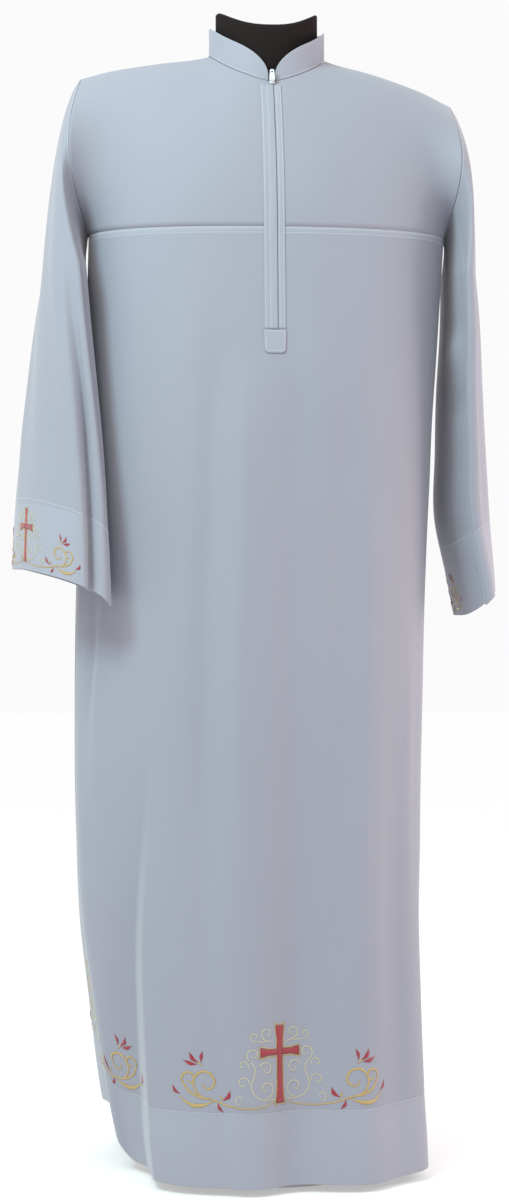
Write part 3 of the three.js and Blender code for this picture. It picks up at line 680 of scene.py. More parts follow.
def new_material(name, roughness, metallic=0.0):
    """Makes a material, and gives its node tree and main shader too."""
    material = bpy.data.materials.new(name)
    material.use_nodes = True
    shader = material.node_tree.nodes["Principled BSDF"]
    shader.inputs["Roughness"].default_value = roughness
    shader.inputs["Metallic"].default_value = metallic
    return material, material.node_tree, shader


def rgba(colour):
    """A colour with full opacity."""
    return (*colour[:3], 1)


def between(tree, factor, low, high, at):
    """Turns a texture's factor into a value between two others."""
    made = node(tree, "ShaderNodeMapRange", at)
    made.inputs["To Min"].default_value = low
    made.inputs["To Max"].default_value = high
    tree.links.new(factor, made.inputs["Value"])
    return made.outputs["Result"]


def tinted(tree, shader, shade, at, colour=(0, 0, 0)):
    """Gives the shader a colour times a shade."""
    made = node(tree, "ShaderNodeVectorMath", at, operation="SCALE")
    made.inputs[0].default_value = colour[:3]
    tree.links.new(shade, made.inputs["Scale"])
    tree.links.new(made.outputs["Vector"], shader.inputs["Base Color"])
    return made


def bumped(tree, height, strength, distance, at):
    """A bump map whose height is a texture's factor."""
    made = node(tree, "ShaderNodeBump", at, Strength=strength, Distance=distance)
    tree.links.new(height, made.inputs["Height"])
    return made


def cloth_material(name, single, doubled):
    """Fine plain-woven polyester, a little brighter where two layers lie together."""
    material, tree, shader = new_material(name, 0.78)
    link = tree.links.new
    shader.inputs["Sheen Weight"].default_value = 0.25
    shader.inputs["Sheen Roughness"].default_value = 0.5
    shader.inputs["Specular IOR Level"].default_value = 0.3
    place = node(tree, "ShaderNodeTexCoord", (-1200, 0))
    bands = {"wave_type": "BANDS", "Scale": THREADS}
    warp = node(tree, "ShaderNodeTexWave", (-900, 200), bands_direction="X", **bands)
    weft = node(tree, "ShaderNodeTexWave", (-900, -100), bands_direction="Z", **bands)
    crumple = node(tree, "ShaderNodeTexNoise", (-900, -400), Scale=14, Detail=4)
    mottle = node(tree, "ShaderNodeTexNoise", (-900, -700), Scale=5, Detail=3)
    for part in (warp, weft, crumple, mottle):
        link(place.outputs["Object"], part.inputs["Vector"])
    weave = node(tree, "ShaderNodeMath", (-650, 60), operation="MULTIPLY")
    link(warp.outputs["Fac"], weave.inputs[0])
    link(weft.outputs["Fac"], weave.inputs[1])
    ply = node(tree, "ShaderNodeAttribute", (-900, 500), attribute_name="ply")
    base = node(tree, "ShaderNodeMix", (-500, 400), data_type="RGBA")
    base.inputs[6].default_value = rgba(single)
    base.inputs[7].default_value = rgba(doubled)
    link(ply.outputs["Fac"], base.inputs[0])
    uneven = between(tree, mottle.outputs["Fac"], 0.965, 1.03, (-650, -600))
    tint = tinted(tree, shader, uneven, (-300, 300))
    link(base.outputs[2], tint.inputs[0])
    soft = bumped(tree, crumple.outputs["Fac"], 0.25, 0.0015, (-480, -250))
    fine = bumped(tree, weave.outputs["Value"], 0.12, 0.0002, (-250, -100))
    link(soft.outputs["Normal"], fine.inputs["Normal"])
    link(fine.outputs["Normal"], shader.inputs["Normal"])
    return material


def thread_material(name, colour, roughness=0.38):
    """Shiny embroidery thread: fine ridges across the satin stitches, with painted shade in their grooves
    and painted highlight on their tops.
    """
    material, tree, shader = new_material(name, roughness)
    link = tree.links.new
    shader.inputs["Sheen Weight"].default_value = 0.3
    place = node(tree, "ShaderNodeTexCoord", (-900, 0))
    turned = node(tree, "ShaderNodeMapping", (-750, 0), Rotation=(0, math.radians(38), 0))
    ridges = {"wave_type": "BANDS", "bands_direction": "X", "Scale": 260, "Distortion": 0.6}
    lines = node(tree, "ShaderNodeTexWave", (-550, 100), **ridges)
    link(place.outputs["Object"], turned.inputs["Vector"])
    link(turned.outputs["Vector"], lines.inputs["Vector"])
    # The colour follows the ridges' height: painted shade in the grooves between stitches, painted highlight
    # on their tops.
    tinted(tree, shader, between(tree, lines.outputs["Fac"], 0.78, 1.15, (-350, 200)), (-200, 250), colour)
    bump = bumped(tree, lines.outputs["Fac"], 0.5, 0.0003, (-200, -100))
    link(bump.outputs["Normal"], shader.inputs["Normal"])
    return material


def speckled_material(name, colour, roughness, metallic=0.0, scale=300, depth=0.0002, spread=0.12):
    """Enamel, jersey or steel: one colour with a fine grain in its shade, gloss and surface."""
    material, tree, shader = new_material(name, roughness, metallic)
    link = tree.links.new
    place = node(tree, "ShaderNodeTexCoord", (-900, 0))
    grain = node(tree, "ShaderNodeTexNoise", (-650, 0), Scale=scale, Detail=5)
    link(place.outputs["Object"], grain.inputs["Vector"])
    fac = grain.outputs["Fac"]
    tinted(tree, shader, between(tree, fac, 1 - spread, 1 + spread, (-400, 200)), (-200, 250), colour)
    gloss = between(tree, fac, max(roughness - 0.08, 0.05), min(roughness + 0.08, 1), (-400, -50))
    link(gloss, shader.inputs["Roughness"])
    bump = bumped(tree, fac, 0.4, depth, (-200, -200))
    link(bump.outputs["Normal"], shader.inputs["Normal"])
    return material


MATERIALS = {}


def make_materials():
    """Makes the finishes from the colours that a user can change."""
    scene = bpy.context.scene
    cloth, thread, form = scene.alb_cloth, scene.alb_embroidery, scene.alb_form
    MATERIALS["cloth"] = cloth_material("white_cloth", cloth.colour, cloth.doubled)
    MATERIALS["trim"] = cloth_material("doubled_cloth", cloth.doubled, cloth.doubled)
    MATERIALS["thread"] = thread_material("white_thread", WHITE_THREAD, 0.6)
    MATERIALS["crimson"] = thread_material("crimson_thread", thread.crimson)
    MATERIALS["gold"] = thread_material("gold_thread", thread.gold, 0.34)
    MATERIALS["pale_gold"] = thread_material("pale_gold_thread", PALE_GOLD, 0.4)
    MATERIALS["tape"] = cloth_material("zip_tape_weave", ZIP_TAPE, cloth.doubled)
    MATERIALS["enamel"] = speckled_material("white_enamel", ENAMEL, 0.35)
    jersey = speckled_material("dark_jersey", form.colour, 0.85, scale=900, depth=0.0004, spread=0.3)
    jersey.node_tree.nodes["Principled BSDF"].inputs["Specular IOR Level"].default_value = JERSEY_GLOSS
    MATERIALS["jersey"] = jersey
    MATERIALS["steel"] = speckled_material("brushed_steel", form.steel, 0.32, metallic=1.0, scale=120)


# ---- the garment's panels ---------------------------------------------------------------------
LEVEL = np.array([1, 1, 0])  # what makes a direction level
ARMHOLE_Z = 1300  # about the middle of an armhole
SLIT_HALF = 0.3
PLEAT_NEAR, PLEAT_FADE = 30, 500  # columns this near to the pleat follow it, and leave it over this height
TUCK_UP, TUCK_IN = (0.25, 1.6, 6.0), (0.5, 1.3, 1.35)  # how the skirt's top goes up and in behind the yokes


def hem_rows_of(count):
    """Heights of the rows of a turned-up hem, closer together at its edge and its stitching."""
    return np.concatenate([[0, 0.6, 1.6], np.linspace(6, HEM_DEEP - 1.2, count), [HEM_DEEP, HEM_DEEP + 1.4]])


def skirt_grid(start, end, slit):
    """Columns of points from the hem up. Some follow the pleat, and the top is tucked behind the yokes."""
    slack = math.degrees(SEAM_GAP / 2 / REACH)
    around = np.linspace(start + slack, end - slack, 150)
    if slit:
        half, edge = math.degrees(SLIT_HALF / REACH), PLEAT["at"]
        ways = [(start + slack, edge - 3.2, 34), (edge - 2.6, edge + 0.6, 9)]
        ways += [(edge + 1.4, -half, 42), (half, end - slack, 75)]
        around = np.concatenate([np.linspace(*way) for way in ways])
    hem_rows = hem_rows_of(11)
    low = hem_at(around)[None, :] + hem_rows[:, None]
    seam = YOKE_Z - SEAM_GAP / 2
    upper = low[-1] + (seam - low[-1]) * np.linspace(0, 1, 128)[1:, None]
    tucked = np.broadcast_to(seam + np.array(TUCK_UP)[:, None], (3, len(around)))
    heights = np.concatenate([low, upper, tucked])
    near = (1 - smooth(np.abs(around - PLEAT["at"]) / PLEAT_NEAR)) * slit
    leave = 1 - smooth((heights - PLEAT["top"]) / PLEAT_FADE)
    shift = PLEAT["lean"] * np.minimum(heights, PLEAT["top"]) * leave
    grid = skirt_point(around[None, :] + near[None, :] * shift, heights)
    grid[-3:] -= grid_normals(grid, False)[-3:] * np.array(TUCK_IN)[:, None, None]
    return around, heights, grid


def double_at(height, start, end, soft=2.0):
    """1 where two layers lie together between two heights, and 0 elsewhere."""
    return smooth((height - start) / soft) * smooth((end - height) / soft)


def level_inward(grid, normals):
    """Keeps the inner side of a wall at its outer side's level."""
    return unit(normals * LEVEL)


def make_skirt():
    """The front with the zip's slit, and the back."""
    cloth = MATERIALS["cloth"]
    for name, start, end, slit in (("front", -90, 90, True), ("back", 90, 270, False)):
        around, heights, grid = skirt_grid(start, end, slit)
        hem = hem_at(around)[None, :]
        ply = double_at(heights, -5, hem + HEM_DEEP)
        ply = np.maximum(ply, double_at(heights, YOKE_Z - 8, YOKE_Z + 5))
        active = np.ones((grid.shape[0] - 1, grid.shape[1] - 1), bool)
        if slit:
            middle = int(np.searchsorted(around, 0)) - 1
            active[heights[:-1, middle] > ZIP_END, middle] = False
        groove = 0.5 * np.exp(-(((heights - hem - HEM_DEEP) / 1.6) ** 2))
        grid = grid - grid_normals(grid, False) * groove[..., None]
        piece = cloth_shell(
            f"{name}_panel",
            grid,
            cloth,
            [name],
            active=active,
            wall=np.where(heights < hem + HEM_DEEP, HEM_WALL, one_layer()),
            inward=level_inward,
            ply=ply,
        )


def upper_grid(front, turns, side_shares, rows):
    """Columns from the middle to an armhole, first along the neck hole and then the shoulder."""
    side = 1 if side_shares[-1] > 0 else -1
    neck = neckline([side * t if front else side * (180 - t) for t in turns])
    shares = np.concatenate([neck[:, 0], side_shares])
    ends = np.concatenate([neck[:, 1], np.ones(len(side_shares))])
    ends[len(turns) - 1] = 1
    ups = np.sin(np.linspace(0, 1, rows) * math.pi / 2)
    grid = yoke_point(front, shares[None, :], ups[:, None] * ends[None, :])
    grid[..., 1] += -SEAM_GAP / 2 if front else SEAM_GAP / 2
    grid[0, :, 2] += SEAM_GAP / 2
    return grid


def away_from(centre, edge, tangent):
    """Directions square to an armhole's edge, in an upright plane, that point away from its centre."""
    way = unit(np.stack([0 * tangent[:, 0], tangent[:, 2], -tangent[:, 1]], -1))
    return -way * np.sign(((centre - edge) * way).sum(-1))[:, None]


def yoke_inward(grid, normals):
    """Thickness directions that keep the edges of a yoke square."""
    turned = normals.copy()
    turned[-1] = (0, 0, 1)
    turned[0] = unit(turned[0] * LEVEL)
    for j in (0, -1):
        if abs(abs(grid[grid.shape[0] // 2, j, 0]) - SHOULDER_HALF) > 12:
            continue
        centre = np.array([grid[0, j, 0], RIDGE_Y, ARMHOLE_Z])
        turned[:, j] = away_from(centre, grid[:, j], np.gradient(grid[:, j], axis=0))
        turned[0, j] = (0, 0, -1)
        turned[-1, j] = (0, 0, 1)
    return turned


def make_yokes():
    """Two front yokes that meet at the zip, and one back yoke."""
    cloth = MATERIALS["cloth"]
    turns = np.concatenate([np.linspace(0, 75, 20), [79, 83, 86.5, 90]])
    edge_share = abs(neckline([90])[0, 0])
    shares = np.linspace(edge_share, 1, 44)[1:]
    for name, side in (("yoke_front_right", -1), ("yoke_front_left", 1)):
        grid = upper_grid(True, turns, side * shares, 48)
        grid[:, 0, 0] = side * SEAM_GAP
        if side < 0:
            grid = grid[:, ::-1]
        ply = double_at(grid[..., 2], YOKE_Z - 6, YOKE_Z + 5)
        piece = cloth_shell(f"{name}_panel", grid, cloth, [name], inward=yoke_inward, ply=ply)
    right = upper_grid(False, turns, -shares, 48)
    left = upper_grid(False, turns, shares, 48)
    grid = np.concatenate([left[:, ::-1], right[:, 1:]], axis=1)
    ply = double_at(grid[..., 2], YOKE_Z - 6, YOKE_Z + 5)
    piece = cloth_shell("yoke_back_panel", grid, cloth, ["yoke_back"], inward=yoke_inward, ply=ply)


def cap_inward(points, normals):
    """Turns the thickness of a sleeve's top row into its seam, so that it meets the yokes squarely."""
    turned = normals.copy()
    tangent = np.roll(points[-1], -1, 0) - np.roll(points[-1], 1, 0)
    turned[-1] = away_from(points[-1].mean(0), points[-1], tangent)
    return turned


def make_sleeves():
    """Both sleeves, from the cuff's hem up to the armhole."""
    for name, sleeve in SLEEVES.items():
        turns = np.linspace(0, 360, 145)[:-1]
        if sleeve["side"] > 0:
            turns = turns[::-1]
        low, high = sleeve["hem"][:2]
        length = FIRST_RING - (low + high) / 2
        downs = 1 - hem_rows_of(12) / length
        upper = np.linspace(downs[-1], 0, 48)[1:]
        cap = -np.linspace(0, 1, 26)[1:]
        downs = np.concatenate([downs, upper, cap])
        grid = sleeve_point(sleeve, turns[None, :], downs[:, None])
        ply = np.repeat((downs > 1 - HEM_DEEP / length).astype(float)[:, None], len(turns), 1)
        piece = cloth_shell(
            f"sleeve_{name}_cloth",
            grid,
            MATERIALS["cloth"],
            [f"sleeve_{name}"],
            closed=True,
            wall=np.where(ply > 0.5, HEM_WALL, one_layer()),
            inward=cap_inward,
            ply=ply,
        )


# ---- collar, placket and zip ------------------------------------------------------------------
# Soft dents of the collar: direction, half width, depth.
COLLAR_DENTS = [
    (63, 5, 1.4),
    (-60, 6, 1.6),
    (34, 5, 0.8),
    (-98, 7, 1.0),
    (112, 6, 1.1),
    (165, 8, 1.0),
    (-148, 7, 0.9),
]


def collar_point(columns, shares, out=0.0):
    """A point of the collar: columns are directions from 0 to 360, shares run up from the seam."""
    per_degree = math.pi * NECK_X / 180
    start = COLLAR["gap"] / per_degree
    from_end = np.maximum((np.minimum(columns, 360 - columns) - start) * per_degree, 0)
    rest = np.maximum(1 - from_end / COLLAR["round"], 0)
    high = COLLAR["end_high"] + (COLLAR["high"] - COLLAR["end_high"]) * np.sqrt(1 - rest**2.4)
    dent = sum(deep * hump(columns, at, half) for at, half, deep in COLLAR_DENTS)
    away = out - SEAM_GAP - dent * np.sin(np.pi * np.clip(shares, 0, 1) ** 0.8)
    turn = np.radians(columns)
    return np.stack(
        [
            (NECK_X + away) * np.sin(turn),
            NECK_CENTRE_Y - (NECK_Y + away) * np.cos(turn),
            neck_height(columns) + 0.5 + (high - 0.5) * shares,
        ],
        -1,
    )


def collar_columns():
    """Directions of the collar's columns, closer together at its rounded ends."""
    start = COLLAR["gap"] / (math.pi * NECK_X / 180)
    ends = start + np.array([0, 0.3, 0.9, 2, 3.5, 5.5, 8, 11, 15, 20, 26, 32, 38])
    return np.concatenate([ends, np.linspace(44, 316, 110), 360 - ends[::-1]])


def make_collar():
    """The stand collar, with its two rounded ends beside the zip."""
    columns = collar_columns()
    shares = np.concatenate([[0, 0.015], np.linspace(0.06, 0.93, 16), [0.965, 0.988, 1.0]])
    edge = np.minimum(np.minimum(columns, 360 - columns) - columns[0], 0.9) / 0.9
    wall = np.full((len(shares), len(columns)), COLLAR["wall"]) * (0.55 + 0.45 * edge)
    wall[-2], wall[-1] = wall[-2] * 0.85, wall[-1] * 0.5
    out = np.zeros_like(wall)
    out[-2], out[-1] = -0.12, -0.45
    groove = np.exp(-(((shares[:, None] - COLLAR_STITCH) / 0.018) ** 2)) * 0.35
    grid = collar_point(columns[None, :], shares[:, None], out - groove)
    turn = np.radians(columns)
    level = np.broadcast_to(np.stack([np.sin(turn), -np.cos(turn), 0 * turn], -1), grid.shape)
    piece = cloth_shell(
        "collar_band",
        grid,
        MATERIALS["trim"],
        ["collar"],
        wall=wall,
        inward=lambda points, normals: level,
        ply=np.ones_like(wall),
    )


def raised(name, xs, zs, lift, thick, key, replaces):
    """A strip of cloth that lies over the middle of the front, lift above or below it."""
    base = front_point(xs, zs)
    normals = grid_normals(base, False)
    outer = base + normals * (lift + thick)[..., None]
    return cloth_shell(
        name,
        outer,
        MATERIALS[key],
        replaces,
        wall=thick,
        inward=lambda points, found: normals,
        ply=np.ones(thick.shape),
    )


def flank(edge, soft=0.6):
    """A strip's thickness near its edge, as a share: thinner where the cloth turns under."""
    return 0.4 + 0.6 * smooth(edge / soft)


def make_fly(zs):
    """The fly over the zip: thin at its seam, full beyond its stitching, round at its free edge."""
    seam, free = FLY
    near_seam, near_free = seam + np.array([0, 0.2, 0.6, 2, 4.5]), free - np.array([0.5, 0.2, 0])
    xs = np.concatenate([near_seam, np.linspace(-9, -7, 7), np.linspace(-6, 0.6, 7), near_free])
    xs, zs = np.broadcast_arrays(xs[None, :], zs)
    past = xs - FLY_STITCH
    thick = 0.85 + 0.9 * smooth((past - 0.2) / 1.4) - 0.3 * np.exp(-((past / 0.45) ** 2))
    wave = 0.25 * np.sin(zs / 19) + 0.2 * np.sin(zs / 7.3 + 1)
    thick = thick + wave * smooth((past - 1) / 3) * smooth((free + 0.1 - xs) / 2)
    rounded = 0.35 + 0.65 * np.sqrt(np.clip(free + 0.15 - xs, 0, 1))
    thick = thick * (0.45 + 0.55 * smooth((xs - seam + 0.1) / 0.6)) * rounded
    piece = raised("placket_fly_cloth", xs, zs, LIFT, thick, "trim", ["placket_fly"])


def make_strip(zs):
    """The strip beside the fly, pressed down along its two rows of stitching."""
    first, last = STRIP
    middle = np.linspace(first + 1.2, last - 1.0, 12)
    xs = np.concatenate([first + np.array([0, 0.2, 0.6]), middle, last - np.array([0.5, 0.2, 0])])
    xs, zs = np.broadcast_arrays(xs[None, :], zs)
    seams = sum(np.exp(-(((xs - at) / 0.4) ** 2)) for at in STRIP_STITCHES)
    thick = (1.05 - 0.3 * seams) * flank(xs - first + 0.1) * flank(last + 0.1 - xs)
    piece = raised("placket_strip_cloth", xs, zs, LIFT, thick, "trim", ["placket_strip"])


def make_tab():
    """The tab over the zip's end, a little narrower at its foot, with two round corners."""
    down = np.concatenate([[0, 0.01], np.linspace(0.05, 0.8, 12), [0.86, 0.91, 0.95, 0.98, 0.995, 1.0]])
    down = down[::-1, None]
    corner = 6 * (1 - np.sqrt(1 - np.clip((down - 0.83) / 0.17, 0, 1) ** 2 * 0.999))
    left, right = TAB["left"] + 1.2 * down + corner, TAB["right"] - 1.2 * down - corner
    ways = np.concatenate([[0, 0.012, 0.03], np.linspace(0.07, 0.93, 14), [0.97, 0.988, 1]])[None, :]
    xs = left + (right - left) * ways
    zs = np.broadcast_to(TAB["top"] + (TAB["end"] - TAB["top"]) * down, xs.shape)
    rim = np.minimum(np.minimum(ways, 1 - ways), np.minimum(down, 1 - down))
    thick = TAB_WALL * flank(rim, 0.03)
    piece = raised("placket_tab_cloth", xs, zs, LIFT, thick, "trim", ["placket_tab"])


def make_placket():
    """The fly, the strip beside it and the tab below them."""
    zs = np.linspace(ZIP_END, ZIP_TOP, 110)[:, None]
    make_fly(zs)
    make_strip(zs)
    make_tab()


# Half sizes of a tooth, its middle behind the front's outer side, and the way to the next one.
TOOTH = {"across": 1.0, "up": 0.55, "out": 0.3, "behind": 1.45, "pitch": 2.2}
BOX_FACES = ((0, 1, 3, 2), (4, 6, 7, 5), (0, 4, 5, 1), (2, 3, 7, 6), (0, 2, 6, 4), (1, 5, 7, 3))


def make_zip():
    """The zip's tape behind the slit and its two rows of teeth."""
    zs = np.linspace(ZIP_END, ZIP_TOP - 2, 90)[:, None]
    xs, zs = np.broadcast_arrays(np.linspace(-TAPE / 2, TAPE / 2, 12)[None, :], zs)
    piece = raised("zip_tape_cloth", xs, zs, TAPE_BEHIND, np.ones(xs.shape), "tape", ["zip_tape"])
    across = np.array([1.0, 0, 0])
    points, faces = [], []
    for side, start in ((-1, 0.0), (1, TOOTH["pitch"] / 2)):
        heights = np.arange(ZIP_END + 4 + start, ZIP_TOP - 5, TOOTH["pitch"])
        xs = np.full_like(heights, side * 1.0)
        normals = normals_of(front_point, xs, heights)
        for middle, out in zip(front_point(xs, heights) - normals * TOOTH["behind"], normals):
            up = np.cross(out, across)
            first = len(points)
            for sx, sz, so in itertools.product((-1, 1), repeat=3):
                corner = across * sx * TOOTH["across"] + up * sz * TOOTH["up"] + out * so * TOOTH["out"]
                points.append(middle + corner)
            faces += [[first + k for k in face] for face in BOX_FACES]
    finish_piece("zip_teeth", points, faces, MATERIALS["enamel"], smooth_shade=False)


# ---- sewing -----------------------------------------------------------------------------------
SLEEVE_TURNS = np.linspace(2, 358, 180)
FINE = {"pitch": 2.8, "long": 2.2, "wide": 0.5, "high": 0.28}  # stitches of the placket and the collar


def surface_line(surface, a, b, lift=0.0):
    """A line on the skirt or on the middle of the front, and its normals."""
    a, b = np.broadcast_arrays(np.asarray(a, float), np.asarray(b, float))
    normals = normals_of(surface, a, b)
    return surface(a, b) + normals * lift, normals


def sleeve_normals(sleeve, turns, downs):
    """Outward normals of a sleeve."""
    found = normals_of(lambda a, b: sleeve_point(sleeve, a, b), turns, downs, 0.4, 0.003)
    return found * sleeve["side"]


def sleeve_line(sleeve, down, lift=0.0):
    """A line round a sleeve and its normals."""
    turns = SLEEVE_TURNS
    downs = np.broadcast_to(down, turns.shape)
    normals = sleeve_normals(sleeve, turns, downs)
    return sleeve_point(sleeve, turns, downs) + normals * lift, normals


def collar_line(columns, shares, lift=0.0):
    """A line round the collar and its normals."""
    columns, shares = np.broadcast_arrays(np.asarray(columns, float), np.asarray(shares, float))
    turn = np.radians(columns)
    normals = np.stack([np.sin(turn), -np.cos(turn), 0 * turn], -1)
    return collar_point(columns, shares) + normals * lift, normals


def stitches(name, lines, pitch=3.3, long=2.6, wide=0.6, high=0.32):
    """Rows of short threads that lie on the cloth. A line is its points and their normals."""
    shares = np.array([0, 0.22, 0.78, 1.0])
    points, faces, first = [], [], 0
    around = ((0.5, 0.05), (0, 1), (-0.5, 0.05), (0, -0.8))
    pattern = [(0, 1 + k, 1 + (k + 1) % 4) for k in range(4)]
    pattern += [(1 + k, 5 + k, 5 + (k + 1) % 4, 1 + (k + 1) % 4) for k in range(4)]
    pattern += [(9, 5 + (k + 1) % 4, 5 + k) for k in range(4)]
    for path, normals in lines:
        run = lengths(path)
        starts = np.arange(pitch / 2, run[-1] - long, pitch)
        at = starts[:, None] + shares * long
        p = np.stack([np.interp(at, run, path[:, i]) for i in range(3)], -1)
        n = unit(np.stack([np.interp(at, run, normals[:, i]) for i in range(3)], -1))
        side = unit(np.cross(unit(p[:, -1] - p[:, 0])[:, None], n))
        made = [p[:, 0] - n[:, 0] * 0.15]
        for k in (1, 2):
            made += [p[:, k] + side[:, k] * wide * a + n[:, k] * high * b for a, b in around]
        made.append(p[:, 3] - n[:, 3] * 0.15)
        points.append(np.stack(made, 1).reshape(-1, 3))
        for _ in range(len(starts)):
            faces += [[first + k for k in face] for face in pattern]
            first += 10
    finish_piece(name, np.concatenate(points), faces, MATERIALS["thread"])


def tab_stitching():
    """The box of stitches inside the tab's edge, as places on the front."""
    left, right, top = TAB["left"] + 2.4, TAB["right"] - 2.1, TAB["top"] - 2.2
    low, lowest = TAB["end"] + 5, TAB["end"] + 2.6
    foot = [(right - 1, low), (6, lowest), (-9.5, lowest), (left + 1, low)]
    corners = np.array([(left, top), (right, top), *foot, (left, top)])
    steps = np.linspace(0, 1, 9)[:-1, None]
    return np.concatenate([a + (b - a) * steps for a, b in zip(corners, corners[1:])])


def make_sewing():
    """Rows of stitches along the yokes, hems, cuffs, armholes, placket and collar."""
    parts = np.linspace(-88.5, 88.5, 220), np.linspace(91.5, 268.5, 240)
    rows = [surface_line(skirt_point, part, YOKE_Z - low, 0.05) for part in parts for low in YOKE_STITCHES]
    stitches("yoke_stitching", rows)
    rows = [surface_line(skirt_point, part, hem_at(part) + HEM_DEEP, -0.3) for part in parts]
    stitches("hem_stitching", rows, 3.6)
    for name, sleeve in SLEEVES.items():
        length = FIRST_RING - sleeve_hem(sleeve, SLEEVE_TURNS)
        rows = [sleeve_line(sleeve, 1 - HEM_DEEP / length), sleeve_line(sleeve, ARMHOLE_STITCH)]
        stitches(f"sleeve_{name}_stitching", rows)
    zs = np.linspace(ZIP_END + 2, ZIP_TOP - 2, 80)
    rows = [surface_line(front_point, FLY_STITCH, zs, LIFT + 0.75)]
    rows += [surface_line(front_point, x, zs, LIFT + 0.85) for x in (FLY_EDGE_STITCH, *STRIP_STITCHES)]
    box = tab_stitching()
    rows.append(surface_line(front_point, box[:, 0], box[:, 1], LIFT + TAB_WALL))
    stitches("placket_stitching", rows, **FINE)
    columns = np.linspace(7, 353, 260)
    rows = [collar_line(columns, COLLAR_STITCH, -0.25), collar_line(columns, COLLAR_LOW_STITCH, 0.05)]
    stitches("collar_stitching", rows, **FINE)


# ---- embroidery -------------------------------------------------------------------------------
def sweep(*places, step=1.7):
    """A smooth line through a few places."""
    p = np.array(places, float)
    q = np.vstack([2 * p[0] - p[1], p, 2 * p[-1] - p[-2]])
    out = []
    for a, b, c, d in zip(q, q[1:], q[2:], q[3:]):
        t = np.linspace(0, 1, max(3, int(np.linalg.norm(c - b) / step)), endpoint=False)[:, None]
        square, cube = 2 * a - 5 * b + 4 * c - d, 3 * b - a - 3 * c + d
        out.append(0.5 * (2 * b + (c - a) * t + square * t**2 + cube * t**3))
    return np.vstack([*out, p[-1:]])


def curl(x, y, start, end, turn_from, turn_to):
    """A spiral about a place, from one radius and direction to another."""
    n = max(8, int(abs(turn_to - turn_from) / 15))
    turn, radius = np.radians(np.linspace(turn_from, turn_to, n)), np.linspace(start, end, n)
    return np.stack([x + radius * np.cos(turn), y + radius * np.sin(turn)], -1)


THIN = (0.9, 1.3, 1.1)


def emblem():
    """The strokes of a cross between scrolls: thread, line, and widths at its start, middle and end."""
    middle = [
        ("crimson", sweep((0, 8), (0, 35), (0, 66), (0, 84), (0, 102)), (13, 7.5, 12)),
        ("gold", sweep((-7.6, 5.4), (0, 7), (7.6, 5.4)), (1.4, 1.2, 1.4)),
        ("gold", sweep((-7.2, 104.6), (0, 103), (7.2, 104.6)), (1.4, 1.2, 1.4)),
    ]
    half = [
        ("crimson", sweep((4.1, 70), (14, 70), (27, 70)), (7.5, 7.5, 12)),
        ("gold", sweep((7.8, 6), (5.2, 24), (4.9, 45), (5.0, 64.6)), (1.3, 1.3, 1.3)),
        ("gold", sweep((5.2, 65.2), (15, 65.0), (28.6, 62.6)), (1.3, 1.3, 1.3)),
        ("gold", sweep((28.9, 63.2), (27.8, 70), (28.9, 76.8)), (1.3, 1.2, 1.3)),
        ("gold", sweep((28.6, 77.4), (15, 75.0), (5.2, 74.8)), (1.3, 1.3, 1.3)),
        ("gold", sweep((5.0, 75.4), (5.0, 86), (7.4, 103.6)), (1.3, 1.3, 1.3)),
        ("gold", sweep((9, 10), (26, 4.5), (50, 3.5), (74, 7), (92, 13)), (1.2, 1.7, 2.2)),
        ("gold", curl(97, 33, 20, 4.5, -100, 350), (2.3, 3.0, 1.6)),
        ("gold", sweep((92, 13), (106, 15), (120, 22), (128, 34)), (2.0, 2.8, 2.6)),
        ("gold", curl(118.5, 37, 10, 3, -15, 330), (2.6, 2.6, 1.4)),
        ("gold", sweep((88, 11.5), (102, 6), (117, 5), (129, 11), (134, 16)), (1.0, 5.0, 1.2)),
        ("gold", sweep((101, 53), (104, 57), (106, 56)), (1.2, 2.6, 1.2)),
        ("gold", sweep((76, 12), (79, 15), (80, 19)), (1.0, 2.4, 1.0)),
        ("crimson", sweep((105.5, 57.5), (112, 62), (115, 70)), (1.6, 5.6, 0.5)),
        ("crimson", sweep((107.5, 55), (116, 56), (124, 60)), (1.6, 5.0, 0.5)),
        ("crimson", sweep((101, 58), (101, 64), (98, 71)), (1.4, 4.6, 0.5)),
        ("crimson", sweep((77, 12.5), (70, 17), (67, 25)), (1.6, 5.4, 0.5)),
        ("crimson", sweep((84, 8), (83, 3), (78, -2)), (1.4, 4.4, 0.5)),
        ("crimson", sweep((133, 18), (139, 22), (141, 29)), (1.2, 4.4, 0.5)),
        ("pale_gold", sweep((8, 13), (22, 12), (35, 18), (40, 30), (36, 42), (35, 52), (40, 60)), THIN),
        ("pale_gold", curl(36, 68, 8.8, 2.2, -62, 330), (1.1, 1.2, 0.9)),
        ("pale_gold", curl(21, 26, 12.5, 2.4, -80, -460), (1.1, 1.2, 0.9)),
        ("pale_gold", curl(20, 50, 9.5, 2.2, 10, 390), (1.1, 1.2, 0.9)),
        ("pale_gold", curl(50, 34, 8.5, 2, 200, -160), (1.1, 1.2, 0.9)),
        ("pale_gold", curl(49, 55, 7, 1.8, 215, -110), (1.0, 1.1, 0.9)),
        ("pale_gold", sweep((8, 80), (16, 84), (24, 83), (31, 84)), (0.9, 1.2, 1.0)),
        ("pale_gold", curl(18, 93, 8.5, 2, -85, 290), (1.1, 1.2, 0.9)),
        ("pale_gold", curl(34, 90, 6.2, 1.8, -110, 230), (1.0, 1.1, 0.9)),
        ("pale_gold", curl(55, 14, 6.5, 1.8, -100, 240), (1.0, 1.1, 0.9)),
    ]
    flip = np.array([-1, 1])
    return middle + half + [(key, line * flip, widths) for key, line, widths in half]


